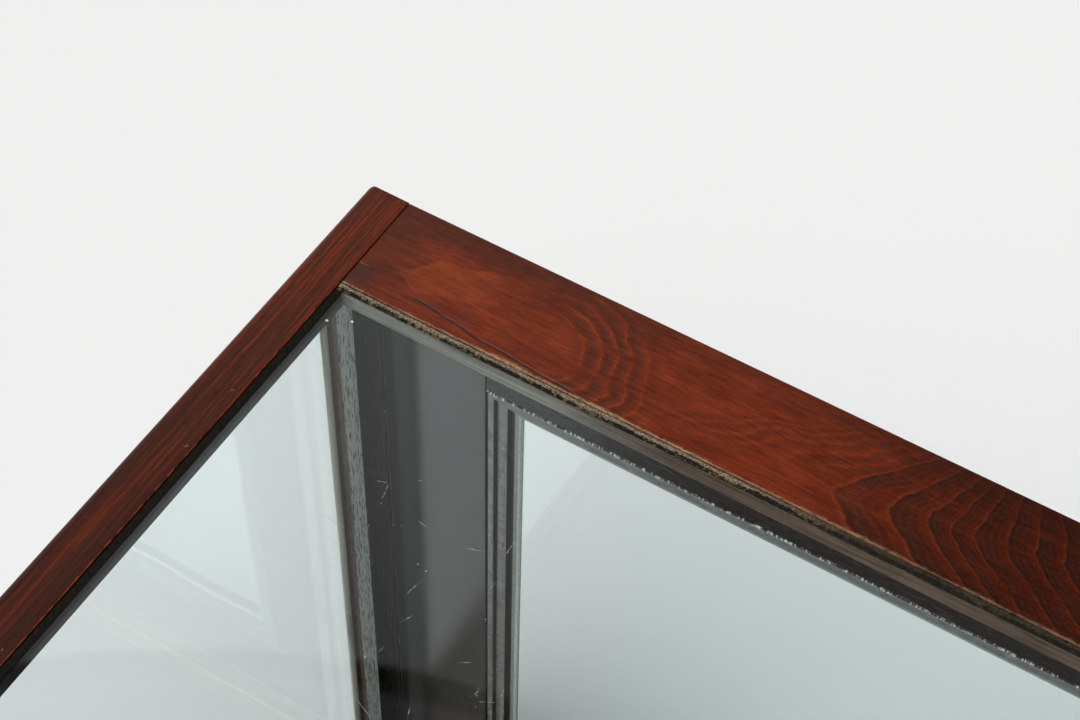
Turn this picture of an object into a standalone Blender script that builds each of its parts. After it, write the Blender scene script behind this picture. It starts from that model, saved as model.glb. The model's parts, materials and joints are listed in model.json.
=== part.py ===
"""Countertop display cabinet: a glazed mahogany case with a glass top and sliding doors at the back.

Metres, +Z up, origin in the middle of the base. The front faces -Y and the doors are at +Y.
"""

import math

import bmesh
import bpy
from mathutils import Matrix, Vector

# Overall size
CABINET_WIDTH = 1.016
CABINET_DEPTH = 0.508
CABINET_HEIGHT = 0.584
FIT_GAP = 0.0003

# Top frame and its pane
TOP_THICKNESS = 0.016
NARROW_RAIL_WIDTH = 0.0254
BACK_RAIL_WIDTH = 0.0645
TOP_LIP = 0.003
TOP_PANE_THICKNESS = 0.004
TOP_PANE_RECESS = 0.003
TOP_PANE_EDGE_ROOM = 0.0005
TOP_OVERHANG = 0.005
TOP_CORNER_ROUND = 0.004
TOP_EDGE_ROUND = 0.0015
PUTTY_WIDTH = 0.0035
PUTTY_HEIGHT = 0.0018
PUTTY_EDGE = 0.0004

# Fixed glazing of the front and the sides
GLASS_LIP = 0.007
PANE_THICKNESS = 0.003
PANE_EDGE_ROOM = 0.001
BEAD_DEPTH = 0.0067
BEAD_ROUND = 0.004
REBATE_WIDTH = 0.0065
UPPER_RAIL_HEIGHT = 0.018
PANE_ENTRY = 0.0075

# Posts, lower rails and floor
BACK_POST_WIDTH = 0.0282
BACK_POST_DEPTH = 0.0555
POST_RECESS_WALL = 0.013
SIDE_STILE_DEPTH = 0.027
SIDE_STILE_SPLAY = 0.0075
LOWER_RAIL_HEIGHT = 0.043
LOWER_RAIL_THICKNESS = 0.020
FLOOR_THICKNESS = 0.012
FLOOR_LEDGE = 0.010
BASE_MOULDING_HEIGHT = 0.030
BASE_MOULDING_FLAT = 0.019

# Tenons
TENON_LENGTH = 0.012
LOWER_TENON_LENGTH = 0.010
TENON_THICKNESS = 0.006
LIP_TENON_LENGTH = 0.007
LIP_TENON_THICKNESS = 0.003
TENON_SHOULDER = 0.005
ROOT = 0.002

# Door tracks
TRACK_LIP = 0.0201
TRACK_CLEARANCE = 0.0007
PARTING_STRIP = 0.002
INNER_TRACK_LIP = 0.0022
SILL_GROOVE_DEPTH = 0.008
TOP_GROOVE_DEPTH = 0.006
RUNNER_WIDTH = 0.0025
RUNNER_PROUD = 0.0015
RUNNER_SUNK = 0.0027

# Doors
DOOR_THICKNESS = 0.0176
DOOR_TOP_ENTRY = 0.0045
DOOR_BOTTOM_ENTRY = 0.0045
DOOR_END_ROOM = 0.0005
DOOR_STILE_FACE = 0.0665
DOOR_TOP_RAIL_FACE = 0.0528
DOOR_BOTTOM_RAIL_FACE = 0.064
DOOR_LIP_WIDTH = 0.015
DOOR_LIP_THICKNESS = 0.007
DOOR_BEAD_WIDTH = 0.019
DOOR_BEAD_FLAT = 0.0035
DOOR_BEAD_EDGE = 0.0024
DOOR_BEAD_STEP = 0.0012

# Rollers, pulls and lock
ROLLER_TREAD_RADIUS = 0.006
ROLLER_FLANGE = 0.001
ROLLER_WIDTH = 0.006
ROLLER_END_INSET = 0.100
ROLLER_ROOM = 0.0007
AXLE_RADIUS = 0.0015
AXLE_LENGTH = 0.0166
PULL_RADIUS = 0.016
PULL_FLANGE_WIDTH = 0.003
PULL_FLANGE_THICKNESS = 0.0012
PULL_DEPTH = 0.007
PULL_WALL = 0.0012
LOCK_FLANGE_RADIUS = 0.011
LOCK_FLANGE_THICKNESS = 0.002
LOCK_BODY_RADIUS = 0.008
PLUNGER_RADIUS = 0.005
PLUNGER_TRAVEL = 0.008
STRIKE_WALL = 0.0018
STRIKE_LENGTH = 0.006

# Facets of round pieces
ROUND_STEPS = 24
ARC_STEPS = 4
EDGE_STEPS = 2
MERGE_DISTANCE = 0.00001

# Places measured inwards from the top's outer edges
CARCASS = TOP_OVERHANG
PANE_OUT = CARCASS + GLASS_LIP + FIT_GAP
BEAD_OUT = PANE_OUT + PANE_THICKNESS + FIT_GAP
BEAD_IN = BEAD_OUT + BEAD_DEPTH
REBATE_WALL = BEAD_IN + FIT_GAP
FRONT_SIGHT = REBATE_WALL + REBATE_WIDTH
POST_SIDE = CARCASS + BACK_POST_WIDTH
POST_FRONT = CARCASS + BACK_POST_DEPTH
STILE_SIDE = NARROW_RAIL_WIDTH + TOP_LIP
STILE_BACK = POST_FRONT + FIT_GAP
STILE_SIGHT = STILE_BACK + SIDE_STILE_DEPTH
PANE_BACK = POST_FRONT - PANE_ENTRY
FLOOR_EDGE = CARCASS + LOWER_RAIL_THICKNESS
LEDGE_EDGE = FLOOR_EDGE + FLOOR_LEDGE

# Door planes, measured inwards from the top's back edge
OUTER_DOOR_FACE = CARCASS + TRACK_LIP + TRACK_CLEARANCE
TRACK_PITCH = DOOR_THICKNESS + 2 * TRACK_CLEARANCE + PARTING_STRIP
INNER_DOOR_FACE = OUTER_DOOR_FACE + TRACK_PITCH
TRACK_INNER_EDGE = INNER_DOOR_FACE + DOOR_THICKNESS + TRACK_CLEARANCE + INNER_TRACK_LIP

# Heights
UNDER_TOP = CABINET_HEIGHT - TOP_THICKNESS
CARCASS_TOP = UNDER_TOP - FIT_GAP
LIP_TOP = CABINET_HEIGHT - TOP_PANE_RECESS - TOP_PANE_THICKNESS
PANE_TOP = LIP_TOP + FIT_GAP + TOP_PANE_THICKNESS
SILL_GROOVE_FLOOR = LOWER_RAIL_HEIGHT - SILL_GROOVE_DEPTH
LEDGE_TOP = LOWER_RAIL_HEIGHT - FLOOR_THICKNESS - FIT_GAP
LOWER_SIGHT = LOWER_RAIL_HEIGHT + REBATE_WIDTH
UPPER_RAIL_BOTTOM = CARCASS_TOP - UPPER_RAIL_HEIGHT
DOOR_BOTTOM = LOWER_RAIL_HEIGHT - DOOR_BOTTOM_ENTRY
DOOR_TOP = UNDER_TOP + DOOR_TOP_ENTRY
DOOR_HEIGHT = DOOR_TOP - DOOR_BOTTOM
ROLLER_AXIS_Z = SILL_GROOVE_FLOOR + RUNNER_PROUD + FIT_GAP + ROLLER_TREAD_RADIUS

# Door widths: each closes against its post and both meeting stiles overlap
DOOR_CLOSING_EDGE = POST_SIDE + DOOR_END_ROOM
DOOR_WIDTH = CABINET_WIDTH / 2 - DOOR_CLOSING_EDGE + DOOR_STILE_FACE / 2

PARTS_NAME = "countertop_display_cabinet"
CUTTERS_NAME = "cutters"


def from_left(distance):
    return distance - CABINET_WIDTH / 2


def from_back(distance):
    return CABINET_DEPTH / 2 - distance


def from_front(distance):
    return distance - CABINET_DEPTH / 2


def clear_scene():
    for obj in list(bpy.data.objects):
        bpy.data.objects.remove(obj, do_unlink=True)


def make_collection(name, hidden):
    collection = bpy.data.collections.new(name)
    bpy.context.scene.collection.children.link(collection)
    collection.hide_render = hidden
    return collection


def make_material(name, colour, roughness, metallic=0.0, alpha=1.0):
    material = bpy.data.materials.new(name)
    material.use_nodes = True
    shader = material.node_tree.nodes["Principled BSDF"]
    shader.inputs["Base Color"].default_value = (*colour, 1.0)
    shader.inputs["Roughness"].default_value = roughness
    shader.inputs["Metallic"].default_value = metallic
    shader.inputs["Alpha"].default_value = alpha
    return material


clear_scene()
PARTS = make_collection(PARTS_NAME, hidden=False)
CUTTERS = make_collection(CUTTERS_NAME, hidden=True)
POLISHED_WOOD = make_material("polished_mahogany", (0.20, 0.040, 0.016), 0.32)
INNER_WOOD = make_material("dark_stained_wood", (0.045, 0.022, 0.014), 0.45)
GLASS = make_material("old_glass", (0.78, 0.86, 0.84), 0.03, alpha=0.25)
PUTTY = make_material("old_putty", (0.035, 0.028, 0.018), 0.85)
BRASS = make_material("aged_brass", (0.55, 0.38, 0.14), 0.35, metallic=1.0)


def new_object(name, mesh, material, location=(0.0, 0.0, 0.0)):
    obj = bpy.data.objects.new(name, mesh)
    PARTS.objects.link(obj)
    obj.location = location
    if material:
        mesh.materials.append(material)
    return obj


def mesh_from(name, bm):
    bmesh.ops.recalc_face_normals(bm, faces=bm.faces[:])
    mesh = bpy.data.meshes.new(name)
    bm.to_mesh(mesh)
    bm.free()
    return mesh


def corners(*ends):
    """The low and high corners of a box given as three pairs, in any order."""
    low = Vector([min(pair) for pair in ends])
    high = Vector([max(pair) for pair in ends])
    return low, high


def box_mesh(name, size):
    bm = bmesh.new()
    bmesh.ops.create_cube(bm, size=1.0)
    bmesh.ops.scale(bm, vec=size, verts=bm.verts[:])
    return mesh_from(name, bm)


def box(name, material, xs, ys, zs):
    low, high = corners(xs, ys, zs)
    return new_object(name, box_mesh(name, high - low), material, (low + high) / 2)


def prism(name, material, outline, axis, start, end):
    """A straight length of one section. The outline lies in the other two axes, in X, Y, Z order."""
    bm = bmesh.new()
    points = []
    for pair in outline:
        point = list(pair)
        point.insert(axis, start)
        points.append(bm.verts.new(point))
    face = bm.faces.new(points)
    grown = bmesh.ops.extrude_face_region(bm, geom=[face])
    step = Vector((0.0, 0.0, 0.0))
    step[axis] = end - start
    moved = [item for item in grown["geom"] if isinstance(item, bmesh.types.BMVert)]
    bmesh.ops.translate(bm, vec=step, verts=moved)
    return new_object(name, mesh_from(name, bm), material)


def lofted(name, loops, closed):
    """A skin over loops of equal length, from each to the next, closed round or capped at both ends."""
    bm = bmesh.new()
    rings = [[bm.verts.new(point) for point in loop] for loop in loops]
    pairs = list(zip(rings, rings[1:]))
    if closed:
        pairs.append((rings[-1], rings[0]))
    for first, second in pairs:
        for i in range(len(first)):
            bm.faces.new((first[i - 1], first[i], second[i], second[i - 1]))
    if not closed:
        bm.faces.new(rings[0])
        bm.faces.new(rings[-1])
    return mesh_from(name, bm)


def moulded_ring(name, material, low, high, profile, place):
    """A mitred frame round the rectangle low to high. The profile gives (inset, rise) points, and place
    turns (across, up, rise) into a point of the model."""
    loops = []
    for inset, rise in profile:
        left, right = low[0] + inset, high[0] - inset
        bottom, top = low[1] + inset, high[1] - inset
        around = ((left, bottom), (right, bottom), (right, top), (left, top))
        loops.append([place(across, up, rise) for across, up in around])
    return new_object(name, lofted(name, loops, closed=True), material)


def boolean(obj, operand, operation):
    modifier = obj.modifiers.new(operand.name, "BOOLEAN")
    modifier.operation = operation
    modifier.object = operand


def as_operand(obj):
    PARTS.objects.unlink(obj)
    CUTTERS.objects.link(obj)
    obj.hide_render = True
    obj.display_type = "WIRE"
    return obj


def box_operand(obj, word, xs, ys, zs):
    return as_operand(box(f"{obj.name}_{word}", None, xs, ys, zs))


def add_box(obj, xs, ys, zs):
    boolean(obj, box_operand(obj, "addition", xs, ys, zs), "UNION")


def cut_box(obj, xs, ys, zs):
    boolean(obj, box_operand(obj, "cut", xs, ys, zs), "DIFFERENCE")


def cut_round(obj, radius, centre, ys):
    """A round hole along Y, through centre, between the two Y values."""
    bm = bmesh.new()
    length = abs(ys[1] - ys[0])
    bmesh.ops.create_cone(bm, cap_ends=True, segments=ROUND_STEPS, radius1=radius, radius2=radius,
                          depth=length)
    along_y = Matrix.Rotation(math.pi / 2, 3, "X")
    bmesh.ops.rotate(bm, cent=(0, 0, 0), matrix=along_y, verts=bm.verts[:])
    mesh = mesh_from(f"{obj.name}_bore", bm)
    middle = Vector((centre[0], (ys[0] + ys[1]) / 2, centre[2]))
    boolean(obj, as_operand(new_object(f"{obj.name}_bore", mesh, None, middle)), "DIFFERENCE")


def widened(pair, by):
    return (min(pair) - by, max(pair) + by)


def tenon(rail, receiver, axis, shoulder, depth, others):
    """A tenon of signed depth along axis, on the rail's shoulder, and its mortise in the receiver."""
    direction = math.copysign(1.0, depth)
    spans = list(others)
    spans.insert(axis, (shoulder - direction * ROOT, shoulder + depth))
    add_box(rail, *spans)
    mortise = [widened(pair, FIT_GAP) for pair in others]
    mortise.insert(axis, (shoulder - direction * ROOT, shoulder + depth + direction * FIT_GAP))
    cut_box(receiver, *mortise)


def turned(name, material, profile, location, closed=False):
    """A profile of (radius, height) points turned about an axis that points out of the back, +Y."""
    bm = bmesh.new()
    verts = [bm.verts.new((radius, 0.0, height)) for radius, height in profile]
    for first, second in zip(verts, verts[1:]):
        bm.edges.new((first, second))
    if closed:
        bm.edges.new((verts[-1], verts[0]))
    mesh = bpy.data.meshes.new(name)
    bm.to_mesh(mesh)
    bm.free()
    obj = new_object(name, mesh, material, location)
    obj.rotation_euler = (-math.pi / 2, 0.0, 0.0)
    screw = obj.modifiers.new("turn", "SCREW")
    screw.axis = "Z"
    screw.steps = ROUND_STEPS
    screw.render_steps = ROUND_STEPS
    screw.use_merge_vertices = True
    screw.merge_threshold = MERGE_DISTANCE
    screw.use_smooth_shade = True
    return obj


def round_edges(obj, chosen, radius, segments):
    """Rounds the edges of a box piece whose two ends, in model space, both satisfy chosen."""
    bm = bmesh.new()
    bm.from_mesh(obj.data)
    place = obj.location
    edges = [edge for edge in bm.edges if all(chosen(vert.co + place) for vert in edge.verts)]
    bmesh.ops.bevel(bm, geom=edges, offset=radius, segments=segments, profile=0.5, affect="EDGES")
    bm.to_mesh(obj.data)
    bm.free()


def near(value, target):
    return abs(value - target) < FIT_GAP / 3


def quarter(centre, radii, start_deg):
    """Points of a quarter turn about centre, from start_deg on, with a radius for each direction."""
    points = []
    for i in range(ARC_STEPS + 1):
        turn = math.radians(start_deg + 90.0 * i / ARC_STEPS)
        points.append((centre[0] + radii[0] * math.cos(turn), centre[1] + radii[1] * math.sin(turn)))
    return points


def make_top_frame():
    heights = (UNDER_TOP, CABINET_HEIGHT)
    lip_heights = (UNDER_TOP, LIP_TOP)
    inner_back = from_back(BACK_RAIL_WIDTH)
    inner_front = from_front(NARROW_RAIL_WIDTH)
    edge = CABINET_WIDTH / 2
    inner_edge = edge - NARROW_RAIL_WIDTH
    lip_edge = inner_edge - TOP_LIP
    across = (inner_front + TOP_LIP + FIT_GAP, inner_back - TOP_LIP - FIT_GAP)
    middle = (UNDER_TOP + CABINET_HEIGHT) / 2
    tenon_zs = (middle - TENON_THICKNESS / 2, middle + TENON_THICKNESS / 2)

    ends = (-inner_edge + FIT_GAP, inner_edge - FIT_GAP)
    edges = {"back": (from_back(0), inner_back), "front": (from_front(0), inner_front)}
    end_rails = {}
    for word, (outer, inner) in edges.items():
        rail = box(f"top_{word}_rail", POLISHED_WOOD, ends, (outer, inner), heights)
        round_edges(rail, lambda co: near(co.y, outer) and near(co.z, CABINET_HEIGHT),
                    TOP_EDGE_ROUND, EDGE_STEPS)
        inwards = math.copysign(1.0, inner - outer)
        add_box(rail, ends, (inner - inwards * ROOT, inner + inwards * TOP_LIP), lip_heights)
        end_rails[word] = rail
    for low, high in track_bands():
        cut_box(end_rails["back"], (POST_SIDE - edge, edge - POST_SIDE), (from_back(low), from_back(high)),
                (UNDER_TOP - ROOT, UNDER_TOP + TOP_GROOVE_DEPTH))

    for side, word in ((-1, "left"), (1, "right")):
        rail = box(f"top_side_rail_{word}", POLISHED_WOOD, (side * inner_edge, side * edge),
                   (from_front(0), from_back(0)), heights)
        round_edges(rail, lambda co: near(abs(co.x), edge) and near(abs(co.y), CABINET_DEPTH / 2),
                    TOP_CORNER_ROUND, ARC_STEPS)
        add_box(rail, (side * (inner_edge + ROOT), side * lip_edge), across, lip_heights)
        for name, (outer, inner) in edges.items():
            inset = math.copysign(TENON_SHOULDER, inner)
            tenon(end_rails[name], rail, 0, side * (inner_edge - FIT_GAP), side * TENON_LENGTH,
                  ((outer - inset, inner + inset), tenon_zs))

    room = TOP_PANE_EDGE_ROOM
    pane_xs = (-inner_edge + room, inner_edge - room)
    pane_ys = (inner_front + room, inner_back - room)
    box("top_pane", GLASS, pane_xs, pane_ys, (LIP_TOP + FIT_GAP, PANE_TOP))
    putty_foot = PANE_TOP + FIT_GAP
    profile = ((0, 0), (0, PUTTY_HEIGHT), (PUTTY_EDGE, PUTTY_HEIGHT), (PUTTY_WIDTH, PUTTY_EDGE),
               (PUTTY_WIDTH, 0))
    moulded_ring("top_pane_putty", PUTTY, (-inner_edge + FIT_GAP, inner_front + FIT_GAP),
                 (inner_edge - FIT_GAP, inner_back - FIT_GAP), profile,
                 lambda x, y, rise: (x, y, putty_foot + rise))


def make_posts():
    """Four posts from the base to the top frame, and the splayed stiles in front of the back posts."""
    posts = {}
    heights = (0.0, CARCASS_TOP)
    edge = CABINET_WIDTH / 2
    for side, word in ((-1, "left"), (1, "right")):
        across = (side * (edge - CARCASS), side * (edge - POST_SIDE))
        back = box(f"back_post_{word}", INNER_WOOD, across,
                   (from_back(CARCASS), from_back(POST_FRONT)), heights)
        cut_box(back, (side * (edge - CARCASS - GLASS_LIP), side * (edge - BEAD_OUT)),
                (from_back(PANE_BACK), from_back(POST_FRONT + ROOT)), (LOWER_RAIL_HEIGHT, CABINET_HEIGHT))
        if side < 0:
            cut_box(back, (side * (edge - CARCASS - POST_RECESS_WALL), side * (edge - POST_SIDE - ROOT)),
                    (from_back(INNER_DOOR_FACE - TRACK_CLEARANCE), from_back(POST_FRONT + ROOT)),
                    (LOWER_RAIL_HEIGHT, CABINET_HEIGHT))

        section = ((REBATE_WALL, STILE_BACK), (STILE_SIDE, STILE_BACK), (STILE_SIDE, STILE_SIGHT),
                   (REBATE_WALL, STILE_SIGHT - SIDE_STILE_SPLAY))
        outline = [(side * (edge - across), from_back(deep)) for across, deep in section]
        prism(f"side_stile_{word}", INNER_WOOD, outline, 2, LOWER_RAIL_HEIGHT + FIT_GAP, CARCASS_TOP)

        front = box(f"front_post_{word}", POLISHED_WOOD,
                    (side * (edge - CARCASS), side * (edge - FRONT_SIGHT)),
                    (from_front(CARCASS), from_front(FRONT_SIGHT)), heights)
        lip, wall, past = CARCASS + GLASS_LIP, REBATE_WALL, FRONT_SIGHT + ROOT
        for start_x, start_y in ((lip, wall), (wall, lip)):
            cut_box(front, (side * (edge - start_x), side * (edge - past)),
                    (from_front(start_y), from_front(past)), (LOWER_RAIL_HEIGHT, CABINET_HEIGHT))
        posts[word] = (front, back)
    return posts


def lower_rail_outline(place):
    """Section of a front or side lower rail: pane lip, rebate floor and the ledge for the floor board."""
    lip = CARCASS + GLASS_LIP
    corners_in_turn = (
        (CARCASS, 0.0), (LEDGE_EDGE, 0.0), (LEDGE_EDGE, LEDGE_TOP), (FLOOR_EDGE, LEDGE_TOP),
        (FLOOR_EDGE, LOWER_RAIL_HEIGHT), (lip, LOWER_RAIL_HEIGHT), (lip, LOWER_SIGHT),
        (CARCASS, LOWER_SIGHT),
    )
    return [(place(distance), height) for distance, height in corners_in_turn]


def make_rails(posts):
    """Upper and lower rails of the front and the sides, tenoned into the posts."""
    edge = CABINET_WIDTH / 2
    shoulder = FRONT_SIGHT + FIT_GAP
    upper = (UPPER_RAIL_BOTTOM, CARCASS_TOP)
    upper_tenon = (UPPER_RAIL_BOTTOM + TENON_SHOULDER, CARCASS_TOP - TENON_SHOULDER)
    lower_tenon = (TENON_SHOULDER, LEDGE_TOP - TENON_SHOULDER)
    lip_middle = CARCASS + GLASS_LIP / 2
    core_middle = CARCASS + LOWER_RAIL_THICKNESS / 2
    lip_band = (lip_middle - LIP_TENON_THICKNESS / 2, lip_middle + LIP_TENON_THICKNESS / 2)
    core_band = (core_middle - TENON_THICKNESS / 2, core_middle + TENON_THICKNESS / 2)

    front_ends = (from_left(shoulder), -from_left(shoulder))
    front_upper = box("front_upper_rail", POLISHED_WOOD, front_ends,
                      (from_front(CARCASS), from_front(CARCASS + GLASS_LIP)), upper)
    front_section = lower_rail_outline(from_front)
    front_lower = prism("front_lower_rail", POLISHED_WOOD, front_section, 0, *front_ends)
    for end, word in zip(front_ends, ("left", "right")):
        out = math.copysign(1.0, end)
        tenon(front_upper, posts[word][0], 0, end, out * LIP_TENON_LENGTH,
              ([from_front(value) for value in lip_band], upper_tenon))
        tenon(front_lower, posts[word][0], 0, end, out * LOWER_TENON_LENGTH,
              ([from_front(value) for value in core_band], lower_tenon))

    side_ends = (from_front(shoulder), from_back(POST_FRONT + FIT_GAP))
    for side, word in ((-1, "left"), (1, "right")):
        front_post, back_post = posts[word]

        def place(distance):
            return side * (edge - distance)

        side_upper = box(f"side_upper_rail_{word}", POLISHED_WOOD,
                         (place(CARCASS), place(CARCASS + GLASS_LIP)), side_ends, upper)
        side_section = lower_rail_outline(place)
        side_lower = prism(f"side_lower_rail_{word}", POLISHED_WOOD, side_section, 1, *side_ends)
        cut_box(side_lower, (place(FRONT_SIGHT), place(LEDGE_EDGE + ROOT)),
                (from_front(shoulder - ROOT), from_front(LEDGE_EDGE + FIT_GAP)), (-ROOT, LOWER_SIGHT))
        cut_box(side_lower, (place(POST_SIDE), place(LEDGE_EDGE + ROOT)),
                (from_back(TRACK_INNER_EDGE + FLOOR_LEDGE + FIT_GAP), from_back(0)), (-ROOT, LOWER_SIGHT))
        for end, receiver, out in ((side_ends[0], front_post, -1), (side_ends[1], back_post, 1)):
            tenon(side_upper, receiver, 1, end, out * LIP_TENON_LENGTH,
                  ([place(value) for value in lip_band], upper_tenon))
            tenon(side_lower, receiver, 1, end, out * LOWER_TENON_LENGTH,
                  ([place(value) for value in core_band], lower_tenon))


def track_bands():
    """The two door grooves, measured inwards from the top's back edge."""
    for face in (OUTER_DOOR_FACE, INNER_DOOR_FACE):
        yield (face - TRACK_CLEARANCE, face + DOOR_THICKNESS + TRACK_CLEARANCE)


def make_tracks(posts):
    """Grooved sill between the back posts, and the brass runners in it."""
    end = CABINET_WIDTH / 2 - POST_SIDE - FIT_GAP
    sill_line = [(CARCASS, 0.0), (CARCASS, LOWER_RAIL_HEIGHT)]
    for low, high in track_bands():
        sill_line += [(low, LOWER_RAIL_HEIGHT), (low, SILL_GROOVE_FLOOR)]
        sill_line += [(high, SILL_GROOVE_FLOOR), (high, LOWER_RAIL_HEIGHT)]
    ledge = TRACK_INNER_EDGE + FLOOR_LEDGE
    sill_line += [(TRACK_INNER_EDGE, LOWER_RAIL_HEIGHT), (TRACK_INNER_EDGE, LEDGE_TOP)]
    sill_line += [(ledge, LEDGE_TOP), (ledge, 0.0)]
    sill = prism("door_sill", POLISHED_WOOD, [(from_back(d), z) for d, z in sill_line], 0, -end, end)

    sill_tenon = (TENON_SHOULDER, SILL_GROOVE_FLOOR - RUNNER_SUNK - TENON_SHOULDER)
    sill_ys = (from_back(CARCASS + TENON_SHOULDER), from_back(INNER_DOOR_FACE - TENON_SHOULDER))
    for side, word in ((-1, "left"), (1, "right")):
        tenon(sill, posts[word][1], 0, side * end, side * TENON_LENGTH, (sill_ys, sill_tenon))

    for word, face in (("outer", OUTER_DOOR_FACE), ("inner", INNER_DOOR_FACE)):
        middle = face + DOOR_THICKNESS / 2
        band = (from_back(middle - RUNNER_WIDTH / 2), from_back(middle + RUNNER_WIDTH / 2))
        seat = SILL_GROOVE_FLOOR - RUNNER_SUNK
        box(f"door_runner_{word}", BRASS, (-end, end), band, (seat, SILL_GROOVE_FLOOR + RUNNER_PROUD))
        cut_box(sill, widened((-end, end), ROOT), widened(band, FIT_GAP),
                (seat - FIT_GAP, LOWER_RAIL_HEIGHT))


def make_floor():
    edge = CABINET_WIDTH / 2
    reach = edge - FLOOR_EDGE - FIT_GAP
    heights = (LEDGE_TOP + FIT_GAP, LEDGE_TOP + FIT_GAP + FLOOR_THICKNESS)
    floor = box("floor_board", INNER_WOOD, (-reach, reach),
                (from_front(FLOOR_EDGE + FIT_GAP), from_back(TRACK_INNER_EDGE + FIT_GAP)), heights)
    for side in (-1, 1):
        add_box(floor, (side * reach, side * (edge - POST_SIDE)),
                (from_back(POST_FRONT + FIT_GAP), from_back(TRACK_INNER_EDGE + ROOT)), heights)
        cut_box(floor, (side * (edge - FRONT_SIGHT - FIT_GAP), side * edge),
                (from_front(FRONT_SIGHT + FIT_GAP), from_front(0)), widened(heights, ROOT))


def make_base_mouldings():
    """A moulded skirting on the front and both sides, mitred at the front corners."""
    edge, depth = CABINET_WIDTH / 2, CABINET_DEPTH / 2
    back = TOP_OVERHANG - FIT_GAP
    rise = BASE_MOULDING_HEIGHT - BASE_MOULDING_FLAT
    curve = quarter((0.0, BASE_MOULDING_FLAT), (back - FIT_GAP, rise), 90)
    section = [(back, 0.0), (0.0, 0.0)]
    section += [(back - FIT_GAP + across, up) for across, up in reversed(curve)]
    section.append((back, BASE_MOULDING_HEIGHT))
    front_loops = []
    for side in (-1, 1):
        front_loops.append([(side * (edge - inset), from_front(inset), up) for inset, up in section])
    front = lofted("base_moulding_front", front_loops, closed=False)
    new_object("base_moulding_front", front, POLISHED_WOOD)
    for side, word in ((-1, "left"), (1, "right")):
        mitre = [(side * (edge - inset), from_front(inset + FIT_GAP), up) for inset, up in section]
        square = [(side * (edge - inset), depth - CARCASS, up) for inset, up in section]
        name = f"base_moulding_{word}"
        new_object(name, lofted(name, [mitre, square], closed=False), POLISHED_WOOD)


def bead_profile():
    """A glazing bead: flat against the pane and the rebate, its inner corner rounded."""
    width = REBATE_WIDTH - FIT_GAP
    arc = quarter((width - BEAD_ROUND, BEAD_DEPTH - BEAD_ROUND), (BEAD_ROUND, BEAD_ROUND), 0)
    return [(0.0, 0.0), (width, 0.0)] + arc + [(0.0, BEAD_DEPTH)]


def make_fixed_glazing():
    edge = CABINET_WIDTH / 2
    room = PANE_EDGE_ROOM
    low_z = LOWER_RAIL_HEIGHT
    high_z = UNDER_TOP
    bead_zs = (low_z + FIT_GAP, high_z - FIT_GAP)
    pane_zs = (low_z + FIT_GAP, high_z - room)
    outer, inner = PANE_OUT, PANE_OUT + PANE_THICKNESS

    front_x = edge - REBATE_WALL
    box("front_pane", GLASS, (-front_x + room, front_x - room),
        (from_front(outer), from_front(inner)), pane_zs)
    moulded_ring("front_pane_bead", INNER_WOOD, (-front_x + FIT_GAP, bead_zs[0]),
                 (front_x - FIT_GAP, bead_zs[1]), bead_profile(),
                 lambda x, z, rise: (x, from_front(BEAD_OUT + rise), z))

    front_y = from_front(REBATE_WALL)
    for side, word in ((-1, "left"), (1, "right")):
        box(f"side_pane_{word}", GLASS, (side * (edge - outer), side * (edge - inner)),
            (front_y + room, from_back(PANE_BACK) - room), pane_zs)
        moulded_ring(f"side_pane_bead_{word}", INNER_WOOD, (front_y + FIT_GAP, bead_zs[0]),
                     (from_back(STILE_BACK), bead_zs[1]), bead_profile(),
                     lambda y, z, rise: (side * (edge - BEAD_OUT - rise), y, z))


def door_bead_profile(depth):
    """The door's moulding: a flat fillet, a quirk, a rounded slope and a thin edge on the glass."""
    shoulder = DOOR_BEAD_FLAT + DOOR_BEAD_STEP
    foot = DOOR_BEAD_WIDTH - DOOR_BEAD_FLAT
    crown = depth - DOOR_BEAD_STEP
    arc = quarter((shoulder, DOOR_BEAD_EDGE), (foot - shoulder, crown - DOOR_BEAD_EDGE), 0)
    fillet = [(DOOR_BEAD_FLAT, depth - 2 * DOOR_BEAD_STEP), (DOOR_BEAD_FLAT, depth), (0.0, depth)]
    return [(0.0, 0.0), (DOOR_BEAD_WIDTH, 0.0), (DOOR_BEAD_WIDTH, DOOR_BEAD_EDGE)] + arc + fillet


def parent_to(pivot, *pieces):
    """Hangs pieces on an empty and keeps their place."""
    for piece in pieces:
        piece.parent = pivot
        piece.matrix_parent_inverse = Matrix.Translation(-pivot.location)


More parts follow.
